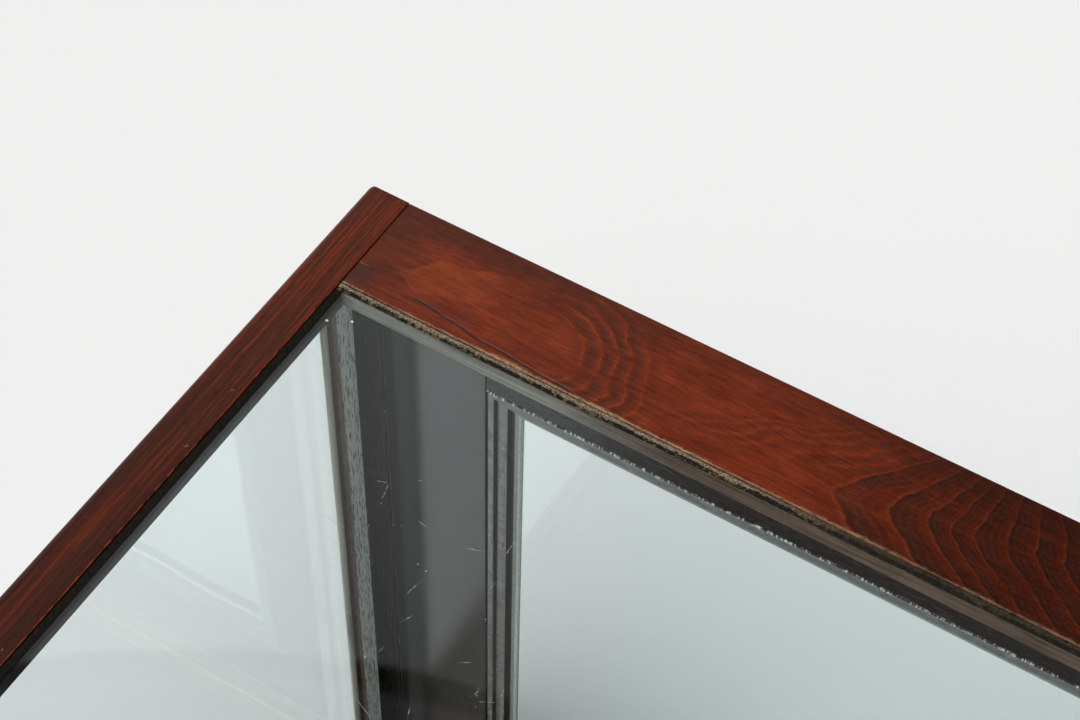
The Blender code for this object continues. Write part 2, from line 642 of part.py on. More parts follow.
def make_door(word, side, face):
    """One sliding door. Across runs from its closing edge towards the middle of the cabinet."""
    pivot = bpy.data.objects.new(f"{word}_door_slide", None)
    PARTS.objects.link(pivot)
    outer_y = from_back(face)
    inner_y = from_back(face + DOOR_THICKNESS)
    middle_y = (outer_y + inner_y) / 2
    lip_y = from_back(face + DOOR_LIP_THICKNESS)

    def at(across):
        return side * (CABINET_WIDTH / 2 - DOOR_CLOSING_EDGE - across)

    pivot.location = (at(0.0), middle_y, DOOR_BOTTOM)
    heights = (DOOR_BOTTOM, DOOR_TOP)
    wall = DOOR_STILE_FACE
    lip = wall + DOOR_LIP_WIDTH
    stiles = []
    for name, flip in (("closing_stile", False), ("meeting_stile", True)):
        span = [DOOR_WIDTH - value if flip else value for value in (0.0, wall, lip)]
        stile = box(f"{word}_door_{name}", INNER_WOOD, (at(span[0]), at(span[2])),
                    (outer_y, inner_y), heights)
        past = span[2] + math.copysign(ROOT, span[2] - span[0])
        cut_box(stile, (at(span[1]), at(past)), (lip_y, inner_y - ROOT), widened(heights, ROOT))
        stiles.append(stile)

    rail_ends = (wall + FIT_GAP, DOOR_WIDTH - wall - FIT_GAP)
    rails = []
    bands = (("top_rail", DOOR_TOP, DOOR_TOP - DOOR_TOP_RAIL_FACE, -1),
             ("bottom_rail", DOOR_BOTTOM, DOOR_BOTTOM + DOOR_BOTTOM_RAIL_FACE, 1))
    for name, start, rebate, inwards in bands:
        sight = rebate + inwards * DOOR_LIP_WIDTH
        outline = [(outer_y, start), (inner_y, start), (inner_y, rebate),
                   (lip_y, rebate), (lip_y, sight), (outer_y, sight)]
        rail = prism(f"{word}_door_{name}", INNER_WOOD, outline, 0, at(rail_ends[0]), at(rail_ends[1]))
        clear = lip + FIT_GAP
        for ends in ((wall - ROOT, clear), (DOOR_WIDTH - wall + ROOT, DOOR_WIDTH - clear)):
            cut_box(rail, (at(ends[0]), at(ends[1])), (outer_y + ROOT, lip_y - FIT_GAP),
                    widened((start, sight), ROOT))
        core = (lip_y + inner_y) / 2
        tenon_ys = (core - TENON_THICKNESS / 2, core + TENON_THICKNESS / 2)
        tenon_zs = (start + inwards * TENON_SHOULDER, rebate - inwards * TENON_SHOULDER)
        tenon(rail, stiles[0], 0, at(rail_ends[0]), side * TENON_LENGTH, (tenon_ys, tenon_zs))
        tenon(rail, stiles[1], 0, at(rail_ends[1]), -side * TENON_LENGTH, (tenon_ys, tenon_zs))
        rails.append(rail)

    low = (min(at(wall), at(DOOR_WIDTH - wall)), DOOR_BOTTOM + DOOR_BOTTOM_RAIL_FACE)
    high = (max(at(wall), at(DOOR_WIDTH - wall)), DOOR_TOP - DOOR_TOP_RAIL_FACE)
    room = PANE_EDGE_ROOM
    pane_y = lip_y - FIT_GAP
    pane = box(f"{word}_door_pane", GLASS, (low[0] + room, high[0] - room),
               (pane_y, pane_y - PANE_THICKNESS), (low[1] + FIT_GAP, high[1] - room))
    bead_y = pane_y - PANE_THICKNESS - FIT_GAP
    bead = moulded_ring(f"{word}_door_bead", INNER_WOOD, (low[0] + FIT_GAP, low[1] + FIT_GAP),
                        (high[0] - FIT_GAP, high[1] - FIT_GAP), door_bead_profile(bead_y - inner_y),
                        lambda x, z, rise: (x, bead_y - rise, z))
    parent_to(pivot, *stiles, *rails, pane, bead)
    roller_xs = (at(ROLLER_END_INSET), at(DOOR_WIDTH - ROLLER_END_INSET))
    make_rollers(word, pivot, rails[1], roller_xs, middle_y)
    make_pull(word, pivot, stiles[0], at(wall / 2), outer_y)
    return pivot, stiles[1], outer_y


def make_rollers(word, pivot, rail, places, middle_y):
    """Two grooved rollers on axle pins, in slots of the door's bottom rail."""
    flange = ROLLER_TREAD_RADIUS + ROLLER_FLANGE
    half = ROLLER_WIDTH / 2
    rim = half - ROLLER_FLANGE
    bore = AXLE_RADIUS + FIT_GAP
    groove_half = RUNNER_WIDTH / 2 + FIT_GAP
    profile = [(bore, half), (flange, half), (flange, rim), (ROLLER_TREAD_RADIUS, groove_half),
               (ROLLER_TREAD_RADIUS, -groove_half), (flange, -rim), (flange, -half), (bore, -half)]
    slot_half = flange + ROLLER_ROOM
    axle_line = [(0.0, AXLE_LENGTH / 2), (AXLE_RADIUS, AXLE_LENGTH / 2), (AXLE_RADIUS, -AXLE_LENGTH / 2),
                 (0.0, -AXLE_LENGTH / 2)]
    for place, end in zip(places, ("closing", "meeting")):
        centre = Vector((place, middle_y, ROLLER_AXIS_Z))
        cut_box(rail, (place - slot_half, place + slot_half),
                (middle_y - half - ROLLER_ROOM, middle_y + half + ROLLER_ROOM),
                (DOOR_BOTTOM - ROOT, ROLLER_AXIS_Z + slot_half))
        cut_round(rail, bore, centre, (middle_y - DOOR_THICKNESS, middle_y + DOOR_THICKNESS))
        roller = turned(f"{word}_door_{end}_roller", BRASS, profile, centre, closed=True)
        axle = turned(f"{word}_door_{end}_axle", BRASS, axle_line, centre)
        parent_to(pivot, roller, axle)


def make_pull(word, pivot, stile, x, outer_y):
    """A flush cup let into the closing stile, half way up the door."""
    z = DOOR_BOTTOM + DOOR_HEIGHT / 2
    rim = PULL_RADIUS + PULL_FLANGE_WIDTH
    inside = PULL_RADIUS - PULL_WALL
    lift = FIT_GAP + PULL_FLANGE_THICKNESS
    cup_floor = PULL_WALL - PULL_DEPTH
    profile = [(0.0, cup_floor), (inside, cup_floor), (inside, lift), (rim, lift), (rim, FIT_GAP),
               (PULL_RADIUS, FIT_GAP), (PULL_RADIUS, -PULL_DEPTH), (0.0, -PULL_DEPTH)]
    cut_round(stile, PULL_RADIUS + FIT_GAP, (x, outer_y, z),
              (outer_y - PULL_DEPTH - FIT_GAP, outer_y + ROOT))
    parent_to(pivot, turned(f"{word}_door_pull", BRASS, profile, (x, outer_y, z)))


def make_lock(outer_door, inner_door):
    """A push lock: the barrel in the outer meeting stile, its plunger and the strike in the inner one."""
    pivot, stile, outer_y = outer_door
    inner_pivot, inner_stile, strike_y = inner_door
    z = DOOR_BOTTOM + DOOR_HEIGHT / 2
    bore = PLUNGER_RADIUS + FIT_GAP
    flange_out = FIT_GAP + LOCK_FLANGE_THICKNESS
    body_end = FIT_GAP - DOOR_THICKNESS
    barrel_line = [(bore, flange_out), (LOCK_FLANGE_RADIUS, flange_out), (LOCK_FLANGE_RADIUS, FIT_GAP),
                   (LOCK_BODY_RADIUS, FIT_GAP), (LOCK_BODY_RADIUS, body_end), (bore, body_end)]
    barrel = turned("lock_barrel", BRASS, barrel_line, (0.0, outer_y, z), closed=True)
    cut_round(stile, LOCK_BODY_RADIUS + FIT_GAP, (0.0, outer_y, z),
              (outer_y - DOOR_THICKNESS - ROOT, outer_y + ROOT))

    nose = flange_out + PLUNGER_TRAVEL
    plunger_line = [(0.0, nose), (PLUNGER_RADIUS, nose), (PLUNGER_RADIUS, body_end), (0.0, body_end)]
    plunger = turned("lock_plunger", BRASS, plunger_line, (0.0, outer_y, z))

    outside = bore + STRIKE_WALL
    strike_line = [(bore, -FIT_GAP), (outside, -FIT_GAP), (outside, -STRIKE_LENGTH), (bore, -STRIKE_LENGTH)]
    strike = turned("lock_strike", BRASS, strike_line, (0.0, strike_y, z), closed=True)
    cut_round(inner_stile, outside + FIT_GAP, (0.0, strike_y, z),
              (strike_y - STRIKE_LENGTH - FIT_GAP, strike_y + ROOT))
    parent_to(pivot, barrel, plunger)
    parent_to(inner_pivot, strike)


def main():
    make_top_frame()
    posts = make_posts()
    make_rails(posts)
    make_tracks(posts)
    make_floor()
    make_base_mouldings()
    make_fixed_glazing()
    outer_door = make_door("left", -1, OUTER_DOOR_FACE)
    inner_door = make_door("right", 1, INNER_DOOR_FACE)
    make_lock(outer_door, inner_door)


main()
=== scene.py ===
"""Dressed countertop display cabinet: worn polished mahogany, dark stained wood, old glass, putty and brass."""

import json
import math
from contextlib import contextmanager

import bmesh
import bpy
from mathutils import Matrix, Vector


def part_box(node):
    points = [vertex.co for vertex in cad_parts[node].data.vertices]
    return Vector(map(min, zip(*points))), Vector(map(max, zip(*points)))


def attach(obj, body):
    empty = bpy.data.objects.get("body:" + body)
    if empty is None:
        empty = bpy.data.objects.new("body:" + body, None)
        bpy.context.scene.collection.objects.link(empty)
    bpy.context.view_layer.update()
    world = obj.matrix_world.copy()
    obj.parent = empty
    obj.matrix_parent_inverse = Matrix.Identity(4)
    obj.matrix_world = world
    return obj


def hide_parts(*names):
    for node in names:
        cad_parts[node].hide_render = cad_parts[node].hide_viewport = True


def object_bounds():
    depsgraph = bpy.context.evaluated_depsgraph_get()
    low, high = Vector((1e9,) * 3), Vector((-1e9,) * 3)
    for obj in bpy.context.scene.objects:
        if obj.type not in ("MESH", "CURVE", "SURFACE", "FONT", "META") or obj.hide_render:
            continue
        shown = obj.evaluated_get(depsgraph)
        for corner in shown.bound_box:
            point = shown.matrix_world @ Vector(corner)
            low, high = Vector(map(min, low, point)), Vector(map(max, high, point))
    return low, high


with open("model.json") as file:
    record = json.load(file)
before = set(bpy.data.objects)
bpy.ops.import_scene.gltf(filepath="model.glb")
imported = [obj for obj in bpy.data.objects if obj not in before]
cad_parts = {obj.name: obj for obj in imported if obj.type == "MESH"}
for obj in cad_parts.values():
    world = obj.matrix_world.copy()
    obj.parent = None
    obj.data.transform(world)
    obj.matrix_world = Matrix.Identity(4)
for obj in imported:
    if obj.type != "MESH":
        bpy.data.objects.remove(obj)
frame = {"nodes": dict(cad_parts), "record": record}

bl_info = {
    "name": "Countertop display cabinet",
    "version": (1, 0, 0),
    "blender": (4, 5, 0),
    "location": "View3D > Sidebar > Cabinet",
    "description": "Dresses the solids of a glazed counter cabinet in worn wood, old glass and brass",
    "category": "Object",
}

CAD_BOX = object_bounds()
LEFT_EDGE, _, BASE = CAD_BOX[0]
RIGHT_EDGE, BACK_EDGE, TOP = CAD_BOX[1]

# Photograph
IMAGE_WIDTH = 1080
FOCAL_PIXELS = 2247.0
SENSOR_WIDTH = 36.0
CAMERA_AZIMUTH = math.radians(30.04)
CAMERA_ELEVATION = math.radians(51.61)
CAMERA_ROLL = math.radians(1.77)
CAMERA_FROM_CORNER = Vector((0.4878, -0.6574, 0.8800))

# Shapes of the cabinet, in metres
FIT_GAP = 0.0003
NARROW_RAIL = 0.0254
WIDE_RAIL = 0.0645
STILE_BEAD = 0.0020
ARRIS_SLACK, ARRIS_ZONE, CHIP_SIZE = 0.0002, 0.0018, 0.005
EDGE_SEGMENTS = 2
PUTTY_STEP = 0.003
PUTTY_LUMPS = 0.0006
MERGE_DISTANCE = 0.00001

# Figure of the wide rail, in metres from the left and the back edge of the top
POINTS_FROM, POINTS_DEPTH, POINTS_SLOPE = 0.2988, 0.0466, 0.19
UPPER_LEAN, UPPER_SPREAD, LOWER_LEAN = 5.373, 14.46, 1.12
FIGURE_ENDS = (0.42, 0.58)
CURL_FROM, CURL_DEPTH, CURL_STEP = 0.121, 0.047, 0.0075
LEAF_FROM, LEAF_DEPTH, LEAF_SLOPE = 0.049, 0.0420, 0.30
HAUNCH_DEPTH = 0.0480
CRACK_FROM, CRACK_DEPTH, CRACK_SLOPE = 0.0544, 0.0531, 0.0932

# Lamps: place, breadth in degrees and strength
LAMPS = {"window_light": ((-0.9, -2.0, 4.4), 60.0, 2.50), "fill_light": ((2.4, -0.6, 2.4), 70.0, 0.40)}
LAMP_TARGET = Vector((0.0, 0.1, 0.3))
# The room that the glass mirrors: where its wall ends and its ceiling starts, as heights of a direction, and the light
WALL_END, CEILING_START, WALL_LEAN = (0.9022, 0.9040), (0.9068, 0.9086), 0.14
WALL_LIGHT, CEILING_LIGHT, PAPER_LIGHT = 0.62, 0.11, 0.94
DIM_SIDE, DIM_SHARE = (-0.45, -0.17), 0.93
FLOOR_SIZE = 80.0
FLOOR_BELOW = 0.0005


def node_bodies():
    """The body of each CAD node."""
    table = {}
    for body, nodes in frame["record"]["behaviour"]["bodies"].items():
        for node in nodes:
            table[node] = body
    return table


BODY_OF = node_bodies()
SLOT_OF = {part["node"]: part["material_slot"] for part in frame["record"]["subparts"]}


def length_property(name, description, default):
    return bpy.props.FloatProperty(name=name, description=description, default=default, unit="LENGTH")


def colour_property(name, description, default):
    return bpy.props.FloatVectorProperty(
        name=name, description=description, default=default, subtype="COLOR", min=0, max=1)


class CabinetSizes(bpy.types.PropertyGroup):
    edge_round: length_property("Edge rounding", "Width of the softened edges of the wood", 0.0007)
    arris_round: length_property("Worn arris", "Width of the rubbed inner edge of the top frame", 0.0012)
    chip_depth: length_property("Chip depth", "How deep the inner edge of the top frame is chipped", 0.0008)
    chip_step: length_property("Chip spacing", "Length between cuts along the chipped edge", 0.003)
    glass_edge: length_property("Glass edge", "Width of the ground edges of the panes", 0.0004)
    brass_edge: length_property("Brass edge", "Width of the rounded edges of the fittings", 0.0003)


class CabinetColours(bpy.types.PropertyGroup):
    mahogany_light: colour_property(
        "Mahogany, light", "Polished wood between the growth lines", (0.192, 0.0262, 0.0064))
    mahogany_dark: colour_property("Mahogany, dark", "Polished wood in the growth lines", (0.0538, 0.0122, 0.0054))
    mahogany_flame: colour_property("Mahogany, flame", "Bright lines of the figure", (0.3456, 0.0563, 0.0109))
    worn_wood: colour_property("Worn wood", "Bare wood on rubbed and chipped edges", (0.5376, 0.32, 0.1664))
    stained_wood: colour_property("Stained wood", "Dark stained wood of the inside", (0.0141, 0.0115, 0.0096))
    stain_rub: colour_property(
        "Rubbed stain", "Brown that shows where the dark stain is rubbed", (0.1408, 0.0704, 0.0384))
    glass_tint: colour_property("Glass", "Tint of one face of a pane", (0.946, 0.997, 1.000))
    putty: colour_property("Putty", "Old bedding putty and grime", (0.0282, 0.0205, 0.0115))
    putty_fleck: colour_property("Putty flecks", "Ochre flecks in the putty", (0.2688, 0.1664, 0.0576))
    brass: colour_property("Brass", "Rubbed brass", (0.620, 0.430, 0.170))
    tarnish: colour_property("Tarnish", "Brown film on the brass", (0.120, 0.070, 0.030))
    floor: colour_property("Floor", "Paper under the cabinet", (0.900, 0.896, 0.888))


class Value:
    """A shader socket that works in Python sums. Each sum adds a Math node."""

    def __init__(self, finish, socket):
        self.finish = finish
        self.socket = socket

    def sum(self, operation, first, second):
        return self.finish.node("ShaderNodeMath", {"operation": operation}, {0: first, 1: second})

    def __add__(self, other):
        return self.sum("ADD", self, other)

    def __sub__(self, other):
        return self.sum("SUBTRACT", self, other)

    def __mul__(self, other):
        return self.sum("MULTIPLY", self, other)

    def __truediv__(self, other):
        return self.sum("DIVIDE", self, other)

    def __radd__(self, other):
        return self.sum("ADD", other, self)

    def __rsub__(self, other):
        return self.sum("SUBTRACT", other, self)

    def __rmul__(self, other):
        return self.sum("MULTIPLY", other, self)

    def __rtruediv__(self, other):
        return self.sum("DIVIDE", other, self)

    def single(self, operation):
        return self.finish.node("ShaderNodeMath", {"operation": operation}, {0: self})

    def __abs__(self):
        return self.single("ABSOLUTE")

    def least(self, other):
        return self.sum("MINIMUM", self, other)

    def most(self, other):
        return self.sum("MAXIMUM", self, other)

    def fraction(self):
        return self.single("FRACT")

    def root(self):
        return self.single("SQRT")

    def smooth(self, low, high):
        """0 below low, 1 above high and soft between them."""
        return self.finish.node("ShaderNodeMapRange", {"interpolation_type": "SMOOTHSTEP"},
                                {"Value": self, "From Min": low, "From Max": high})

    def fade(self, low, high):
        """1 below low, 0 above high and soft between them."""
        return 1.0 - self.smooth(low, high)


class Finish:
    """The node tree of one material or world."""

    def __init__(self, owner):
        self.owner = owner
        owner.use_nodes = True
        self.tree = owner.node_tree
        self.tree.nodes.clear()

    def node(self, kind, settings=None, inputs=None, output=0):
        """Adds a node: its settings first, then the values or links of its sockets."""
        made = self.tree.nodes.new(kind)
        for key, setting in (settings or {}).items():
            if key == "stops":
                self.set_stops(made.color_ramp, setting)
            else:
                setattr(made, key, setting)
        for key, entry in (inputs or {}).items():
            if isinstance(entry, Value):
                self.tree.links.new(entry.socket, made.inputs[key])
            else:
                made.inputs[key].default_value = entry
        return Value(self, made.outputs[output]) if made.outputs else None

    @staticmethod
    def set_stops(ramp, stops):
        while len(ramp.elements) < len(stops):
            ramp.elements.new(0.5)
        for element, (place, colour) in zip(ramp.elements, stops):
            element.position = place
            element.color = (*colour, 1.0)

    def place(self, space="Object", axes="XYZ"):
        """Coordinates as single values."""
        point = self.node("ShaderNodeTexCoord", output=space)
        return [self.node("ShaderNodeSeparateXYZ", inputs={0: point}, output=axis) for axis in axes]

    def vector(self, x, y, z):
        return self.node("ShaderNodeCombineXYZ", inputs={0: x, 1: y, 2: z})

    def noise(self, x, y, z, detail=2.0, roughness=0.5):
        """Noise between 0 and 1 over stretched coordinates."""
        return self.node("ShaderNodeTexNoise", inputs={
            "Vector": self.vector(x, y, z), "Scale": 1.0, "Detail": detail, "Roughness": roughness})

    def ramp(self, value, stops):
        return self.node("ShaderNodeValToRGB", {"stops": stops}, {0: value})

    def mix(self, share, first, second):
        """A colour mixed from two, each a link or three numbers."""
        ends = [entry if isinstance(entry, Value) else (*entry, 1.0) for entry in (first, second)]
        return self.node("ShaderNodeMix", {"data_type": "RGBA"}, {0: share, 6: ends[0], 7: ends[1]}, output=2)

    def shade(self, colour, value):
        """A colour darkened or lit by a value."""
        return self.node("ShaderNodeMix", {"data_type": "RGBA", "blend_type": "MULTIPLY"},
                         {0: 1.0, 6: colour, 7: self.vector(value, value, value)}, output=2)

    def bump(self, height, distance):
        return self.node("ShaderNodeBump", inputs={"Strength": 1.0, "Distance": distance, "Height": height})

    def surface(self, **sockets):
        """The principled shader, its sockets named with underscores for spaces."""
        inputs = {}
        for key, entry in sockets.items():
            inputs[key.replace("_", " ")] = (*entry, 1.0) if isinstance(entry, Vector) else entry
        return self.node("ShaderNodeBsdfPrincipled", inputs=inputs)

    def coat(self, colour, roughness, specular, height, depth, **others):
        """Ends the tree with a surface of one colour, gloss and fine relief."""
        return self.output(self.surface(Base_Color=colour, Roughness=roughness, Specular_IOR_Level=specular,
                                        Normal=self.bump(height, depth), **others))

    def output(self, shader, kind="ShaderNodeOutputMaterial"):
        """Ends the tree and gives back the material or world that it belongs to."""
        self.node(kind, inputs={"Surface": shader})
        return self.owner


def new_finish(name):
    return Finish(bpy.data.materials.new(name))


def sizes():
    return bpy.context.scene.cabinet_sizes


def tint(name, factor=1.0):
    """A colour of the cabinet, darkened or lit by a factor."""
    return Vector(getattr(bpy.context.scene.cabinet_colours, name)) * factor


def mahogany(tone=1.0):
    """The light, dark and flame colours of the polished wood."""
    return [tint(f"mahogany_{shade}", tone) for shade in ("light", "dark", "flame")]


def grain_axes(finish, along):
    """Coordinates along the grain, then the two across it."""
    x, y, z = finish.place()
    return {"X": (x, y, z), "Y": (y, x, z), "Z": (z, x, y)}[along]


def fibre_and_pores(finish, u, v, w, seed):
    """Fine streaks along the grain and short dark pores."""
    fibre = finish.noise(u * 12.0 + seed, v * 620.0, w * 620.0, detail=2.0, roughness=0.6)
    pore_field = finish.noise(u * 120.0, v * 2400.0 + seed, w * 2400.0, detail=1.0)
    return fibre, pore_field.smooth(0.60, 0.70)


def straight_grain(finish, along, seed, tone):
    """Straight-grained mahogany: its colour, fibres, pores and slow drift."""
    u, v, w = grain_axes(finish, along)
    drift = finish.noise(u * 3.0 + seed, v * 14.0, w * 14.0, detail=3.0)
    bands = finish.noise(u * 1.6 + seed, v * 120.0 + drift * 3.0, w * 120.0, detail=3.0, roughness=0.6)
    fibre, pores = fibre_and_pores(finish, u, v, w, seed)
    light, dark, flame = mahogany(tone)
    colour = finish.ramp(bands * 0.62 + fibre * 0.30 + drift * 0.24, (
        (0.36, dark), (0.56, light * 0.62), (0.68, light), (0.80, flame * 0.7)))
    return finish.mix(pores * 0.75, colour, dark * 0.35), fibre, pores, drift


def polished_wood(name, along, seed, tone=1.0, worn=0.0):
    """French-polished mahogany with straight grain. Worn is how far the polish is rubbed away."""
    finish = new_finish(name)
    colour, fibre, pores, drift = straight_grain(finish, along, seed, tone)
    u, v, w = grain_axes(finish, along)
    rubbed = finish.noise(u * 60.0 + seed, v * 60.0, w * 60.0, detail=4.0).smooth(0.66 - worn * 0.36, 0.80)
    colour = finish.mix(rubbed * min(1.0, worn + 0.12), colour, tint("worn_wood", 0.55))
    roughness = 0.30 + rubbed * 0.25 + pores * 0.2 + drift * 0.08
    return finish.coat(colour, roughness, 0.42, fibre * 0.3 - pores * 0.8, 0.00012)


def facing_out(finish):
    """1 on the faces towards the back of the cabinet."""
    return finish.place("Normal", "Y")[0].smooth(0.35, 0.60)


def post_outside(finish):
    """1 on the outer side and the back of a back post."""
    x, y = finish.place(axes="XY")
    low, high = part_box("back_post_left")
    side = abs(x).smooth(-low.x - 0.0012, -low.x - 0.0004)
    return side.most(y.smooth(high.y - 0.0012, high.y - 0.0004))


def figured_wood(name):
    """The wide rail: flat-sawn figure with pointed arches towards one end, a rubbed edge and an old crack."""
    finish = new_finish(name)
    x, y, z = finish.place()
    u = x - LEFT_EDGE
    v = BACK_EDGE - y
    inner = BACK_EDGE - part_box("top_pane_putty")[1].y
    light, dark, flame = mahogany()
    fibre, pores = fibre_and_pores(finish, u * 3.0, v * 0.75, z, 3.1)
    fleck = finish.noise(u * 150.0, v * 950.0, z * 950.0, detail=2.0)
    swirl = finish.noise(u * 9.0, v * 22.0, z * 4.0, detail=1.5) - 0.5
    ripple = finish.noise(u * 34.0, v * 80.0, z * 10.0, detail=3.0) - 0.5
    wiggle = finish.noise(u * 130.0, v * 170.0, z * 20.0, detail=2.0) - 0.5
    mottle = finish.noise(u * 24.0, v * 75.0, z * 12.0, detail=5.0, roughness=0.65)
    # Arches: straight arms on both sides of a line of blunt points
    centre = POINTS_DEPTH - (u - POINTS_FROM) * POINTS_SLOPE
    off = v - centre + swirl * 0.003
    arm = (off * off + 0.000016).root() - 0.0040
    upper = (u - arm * UPPER_LEAN) / (1.0 - arm * UPPER_SPREAD)
    lower = u - arm * LOWER_LEAN
    reach = upper + (lower - upper) * off.smooth(-0.003, 0.003) + swirl * 0.006 + ripple * 0.005 \
        + wiggle * 0.0026
    steps = (reach - 0.299) * 37.0 + (reach - 0.326).most(0.0) * 16.0 + (reach - 0.345).most(0.0) * 34.0 \
        - (reach - 0.368).most(0.0) * 17.0
    rings = (steps + 8.0).fraction()
    arches = finish.ramp(rings, (
        (0.00, flame * 0.56), (0.06, dark * 1.25), (0.34, dark * 1.50), (0.74, light * 0.62),
        (0.92, light * 0.90), (1.0, flame * 0.56)))
    fine = ((steps + 8.0) * 4.0 + ripple * 1.5).fraction()
    arches = finish.shade(arches, 0.84 + abs(fine - 0.5).smooth(0.20, 0.50) * 0.34)
    plain = finish.ramp(mottle * 0.70 + fibre * 0.30, (
        (0.28, light * 0.50), (0.50, light * 0.82), (0.72, light * 1.30)))
    arches = finish.mix(mottle.smooth(0.42, 0.72) * 0.60, arches, plain)
    # Swirl
    curl_u, curl_v = (u - CURL_FROM) * 0.75, v - CURL_DEPTH
    curl_reach = (curl_u * curl_u + curl_v * curl_v).root() + swirl * 0.016 + ripple * 0.012
    curls = finish.ramp((curl_reach / CURL_STEP + 0.80).fraction(), (
        (0.0, flame * 0.66), (0.10, light * 0.66), (0.34, dark * 1.15), (0.66, dark * 1.7),
        (0.86, light * 0.84), (1.0, flame * 0.66)))
    curl_area = curl_reach.smooth(0.0185, 0.0235) * curl_reach.fade(0.046, 0.066)
    curl_area = curl_area * u.smooth(0.116, 0.136) * mottle.smooth(0.30, 0.60)
    plain = finish.mix(curl_area * 0.86, plain, curls)
    # Soft lines above the first arch
    early = off.fade(-0.016, -0.004) * reach.smooth(0.15, 0.21) * u.smooth(0.15, 0.20)
    lines = finish.ramp((reach * 46.0 + ripple * 1.7 + swirl * 1.2).fraction(), (
        (0.0, light * 1.35), (0.14, light * 0.90), (0.42, dark * 1.45), (0.80, light * 0.85),
        (1.0, light * 1.35)))
    early = early * u.fade(*FIGURE_ENDS)
    plain = finish.mix(early * mottle.smooth(0.25, 0.60) * 0.62, plain, lines)
    shown = (u + ripple * 0.10).fade(*FIGURE_ENDS)
    colour = finish.mix(reach.smooth(0.286, 0.300) * shown, plain, arches)
    # Flame patches and darker margins
    leaf_half = 0.0125 * u.smooth(0.045, 0.064) + 0.0002
    leaf_off = abs(v - LEAF_DEPTH + (u - LEAF_FROM) * LEAF_SLOPE) / leaf_half
    leaf = (leaf_off + ripple * 1.1).fade(0.88, 1.02) * (u + ripple * 0.03).fade(0.074, 0.122)
    band_u, band_v = (u - 0.110) / 0.050, (v - 0.0400) / 0.0150
    band = ((band_u * band_u + band_v * band_v).root() + ripple * 1.6).fade(0.45, 1.15)
    colour = finish.shade(colour, 0.90 + u.smooth(0.105, 0.150) * 0.10)
    patch = finish.mix(mottle, flame * 0.42, flame * 0.90)
    colour = finish.mix((leaf * 0.86).most(band * 0.26), colour, patch)
    margin = (v + ripple * 0.012).fade(0.004, 0.022)
    end = (u + ripple * 0.03).fade(0.026, 0.062)
    colour = finish.mix((margin * 0.50).most(end * 0.52), colour, dark * 1.30)
    far = u.smooth(0.25, 0.40) * (1.0 - u.smooth(0.42, 0.62) * 0.55)
    colour = finish.shade(colour, (fibre * 0.80 + fleck * 0.80 + 0.18) * (1.0 - far * 0.58))
    colour = finish.mix(pores * 0.34, colour, dark * 0.6)
    # Haunch at the joint and the crack
    haunch = u.fade(0.0345, 0.0405) * v.smooth(0.0474, 0.0486)
    haunch = haunch * (1.0 - v.smooth(0.0555, 0.0610) * 0.5)
    colour = finish.mix(haunch * 0.62, colour, (0.0384, 0.0179, 0.0115))
    haunch_edge = abs(v - HAUNCH_DEPTH).fade(0.0002, 0.0006) * u.fade(0.026, 0.034)
    colour = finish.mix(haunch_edge * 0.55, colour, tint("worn_wood", 0.40))
    crack_line = abs(v - CRACK_DEPTH - (u - CRACK_FROM) * CRACK_SLOPE + ripple * 0.005)
    crack_ends = u.smooth(0.050, 0.070) * u.fade(0.160, 0.172)
    crack = crack_line.fade(0.0001, 0.0012) * crack_ends * mottle.smooth(0.25, 0.60)
    colour = finish.mix(crack * 0.80, colour, (0.0179, 0.0077, 0.0051))
    # Rubbed inner edge
    drop = TOP - z
    chip = finish.noise(u * 240.0, v * 420.0, z * 420.0, detail=4.0, roughness=0.65)
    run = finish.noise(u * 26.0, v * 3.0, z * 3.0, detail=2.0)
    edge = ((v - inner) * (v - inner) + drop * drop).root() + (chip - 0.5) * 0.0060 - (run - 0.45) * 0.0045
    rubbed = edge.fade(0.0010, 0.0020) * v.smooth(inner - 0.006, inner - 0.0012)
    bare = finish.ramp(chip, ((0.36, tint("worn_wood", 0.16)), (0.50, tint("worn_wood", 0.58)),
                              (0.64, tint("worn_wood", 0.96))))
    colour = finish.mix(rubbed * (0.90 - u.smooth(0.22, 0.36) * 0.55), colour, bare)
    colour = finish.mix(under_glass(v, drop, inner), colour, lip_colour(finish, u, v, z, mottle))
    roughness = 0.30 + rubbed * 0.35 + pores * 0.05 + ripple * 0.10
    height = fibre * 0.25 - pores * 0.3 - crack * 3.0 + rubbed * chip * 3.0
    return finish.coat(colour, roughness, 0.28, height, 0.00010)


def under_glass(v, drop, inner):
    """1 on the lip under the glass, past the inner edge and below the top."""
    return v.smooth(inner - 0.0004, inner + 0.0001) * drop.smooth(0.0016, 0.0024)


def lip_colour(finish, u, v, z, mottle):
    """The stained lip under the glass: dusty at the corner, browner away from it."""
    streak = finish.noise(u * 22.0, v * 1400.0, z * 1400.0, detail=3.0)
    dusty = finish.ramp(streak * 0.6 + mottle * 0.4, (
        (0.34, (0.0448, 0.042, 0.0346)), (0.50, (0.1375, 0.1310, 0.1100)), (0.66, (0.2292, 0.2082, 0.1720))))
    brown = finish.ramp(streak * 0.7 + mottle * 0.3, (
        (0.34, (0.0180, 0.0110, 0.0080)), (0.50, (0.0760, 0.0490, 0.0345)), (0.66, (0.1700, 0.1080, 0.0740))))
    return finish.mix(u.smooth(0.14, 0.22), dusty, brown)


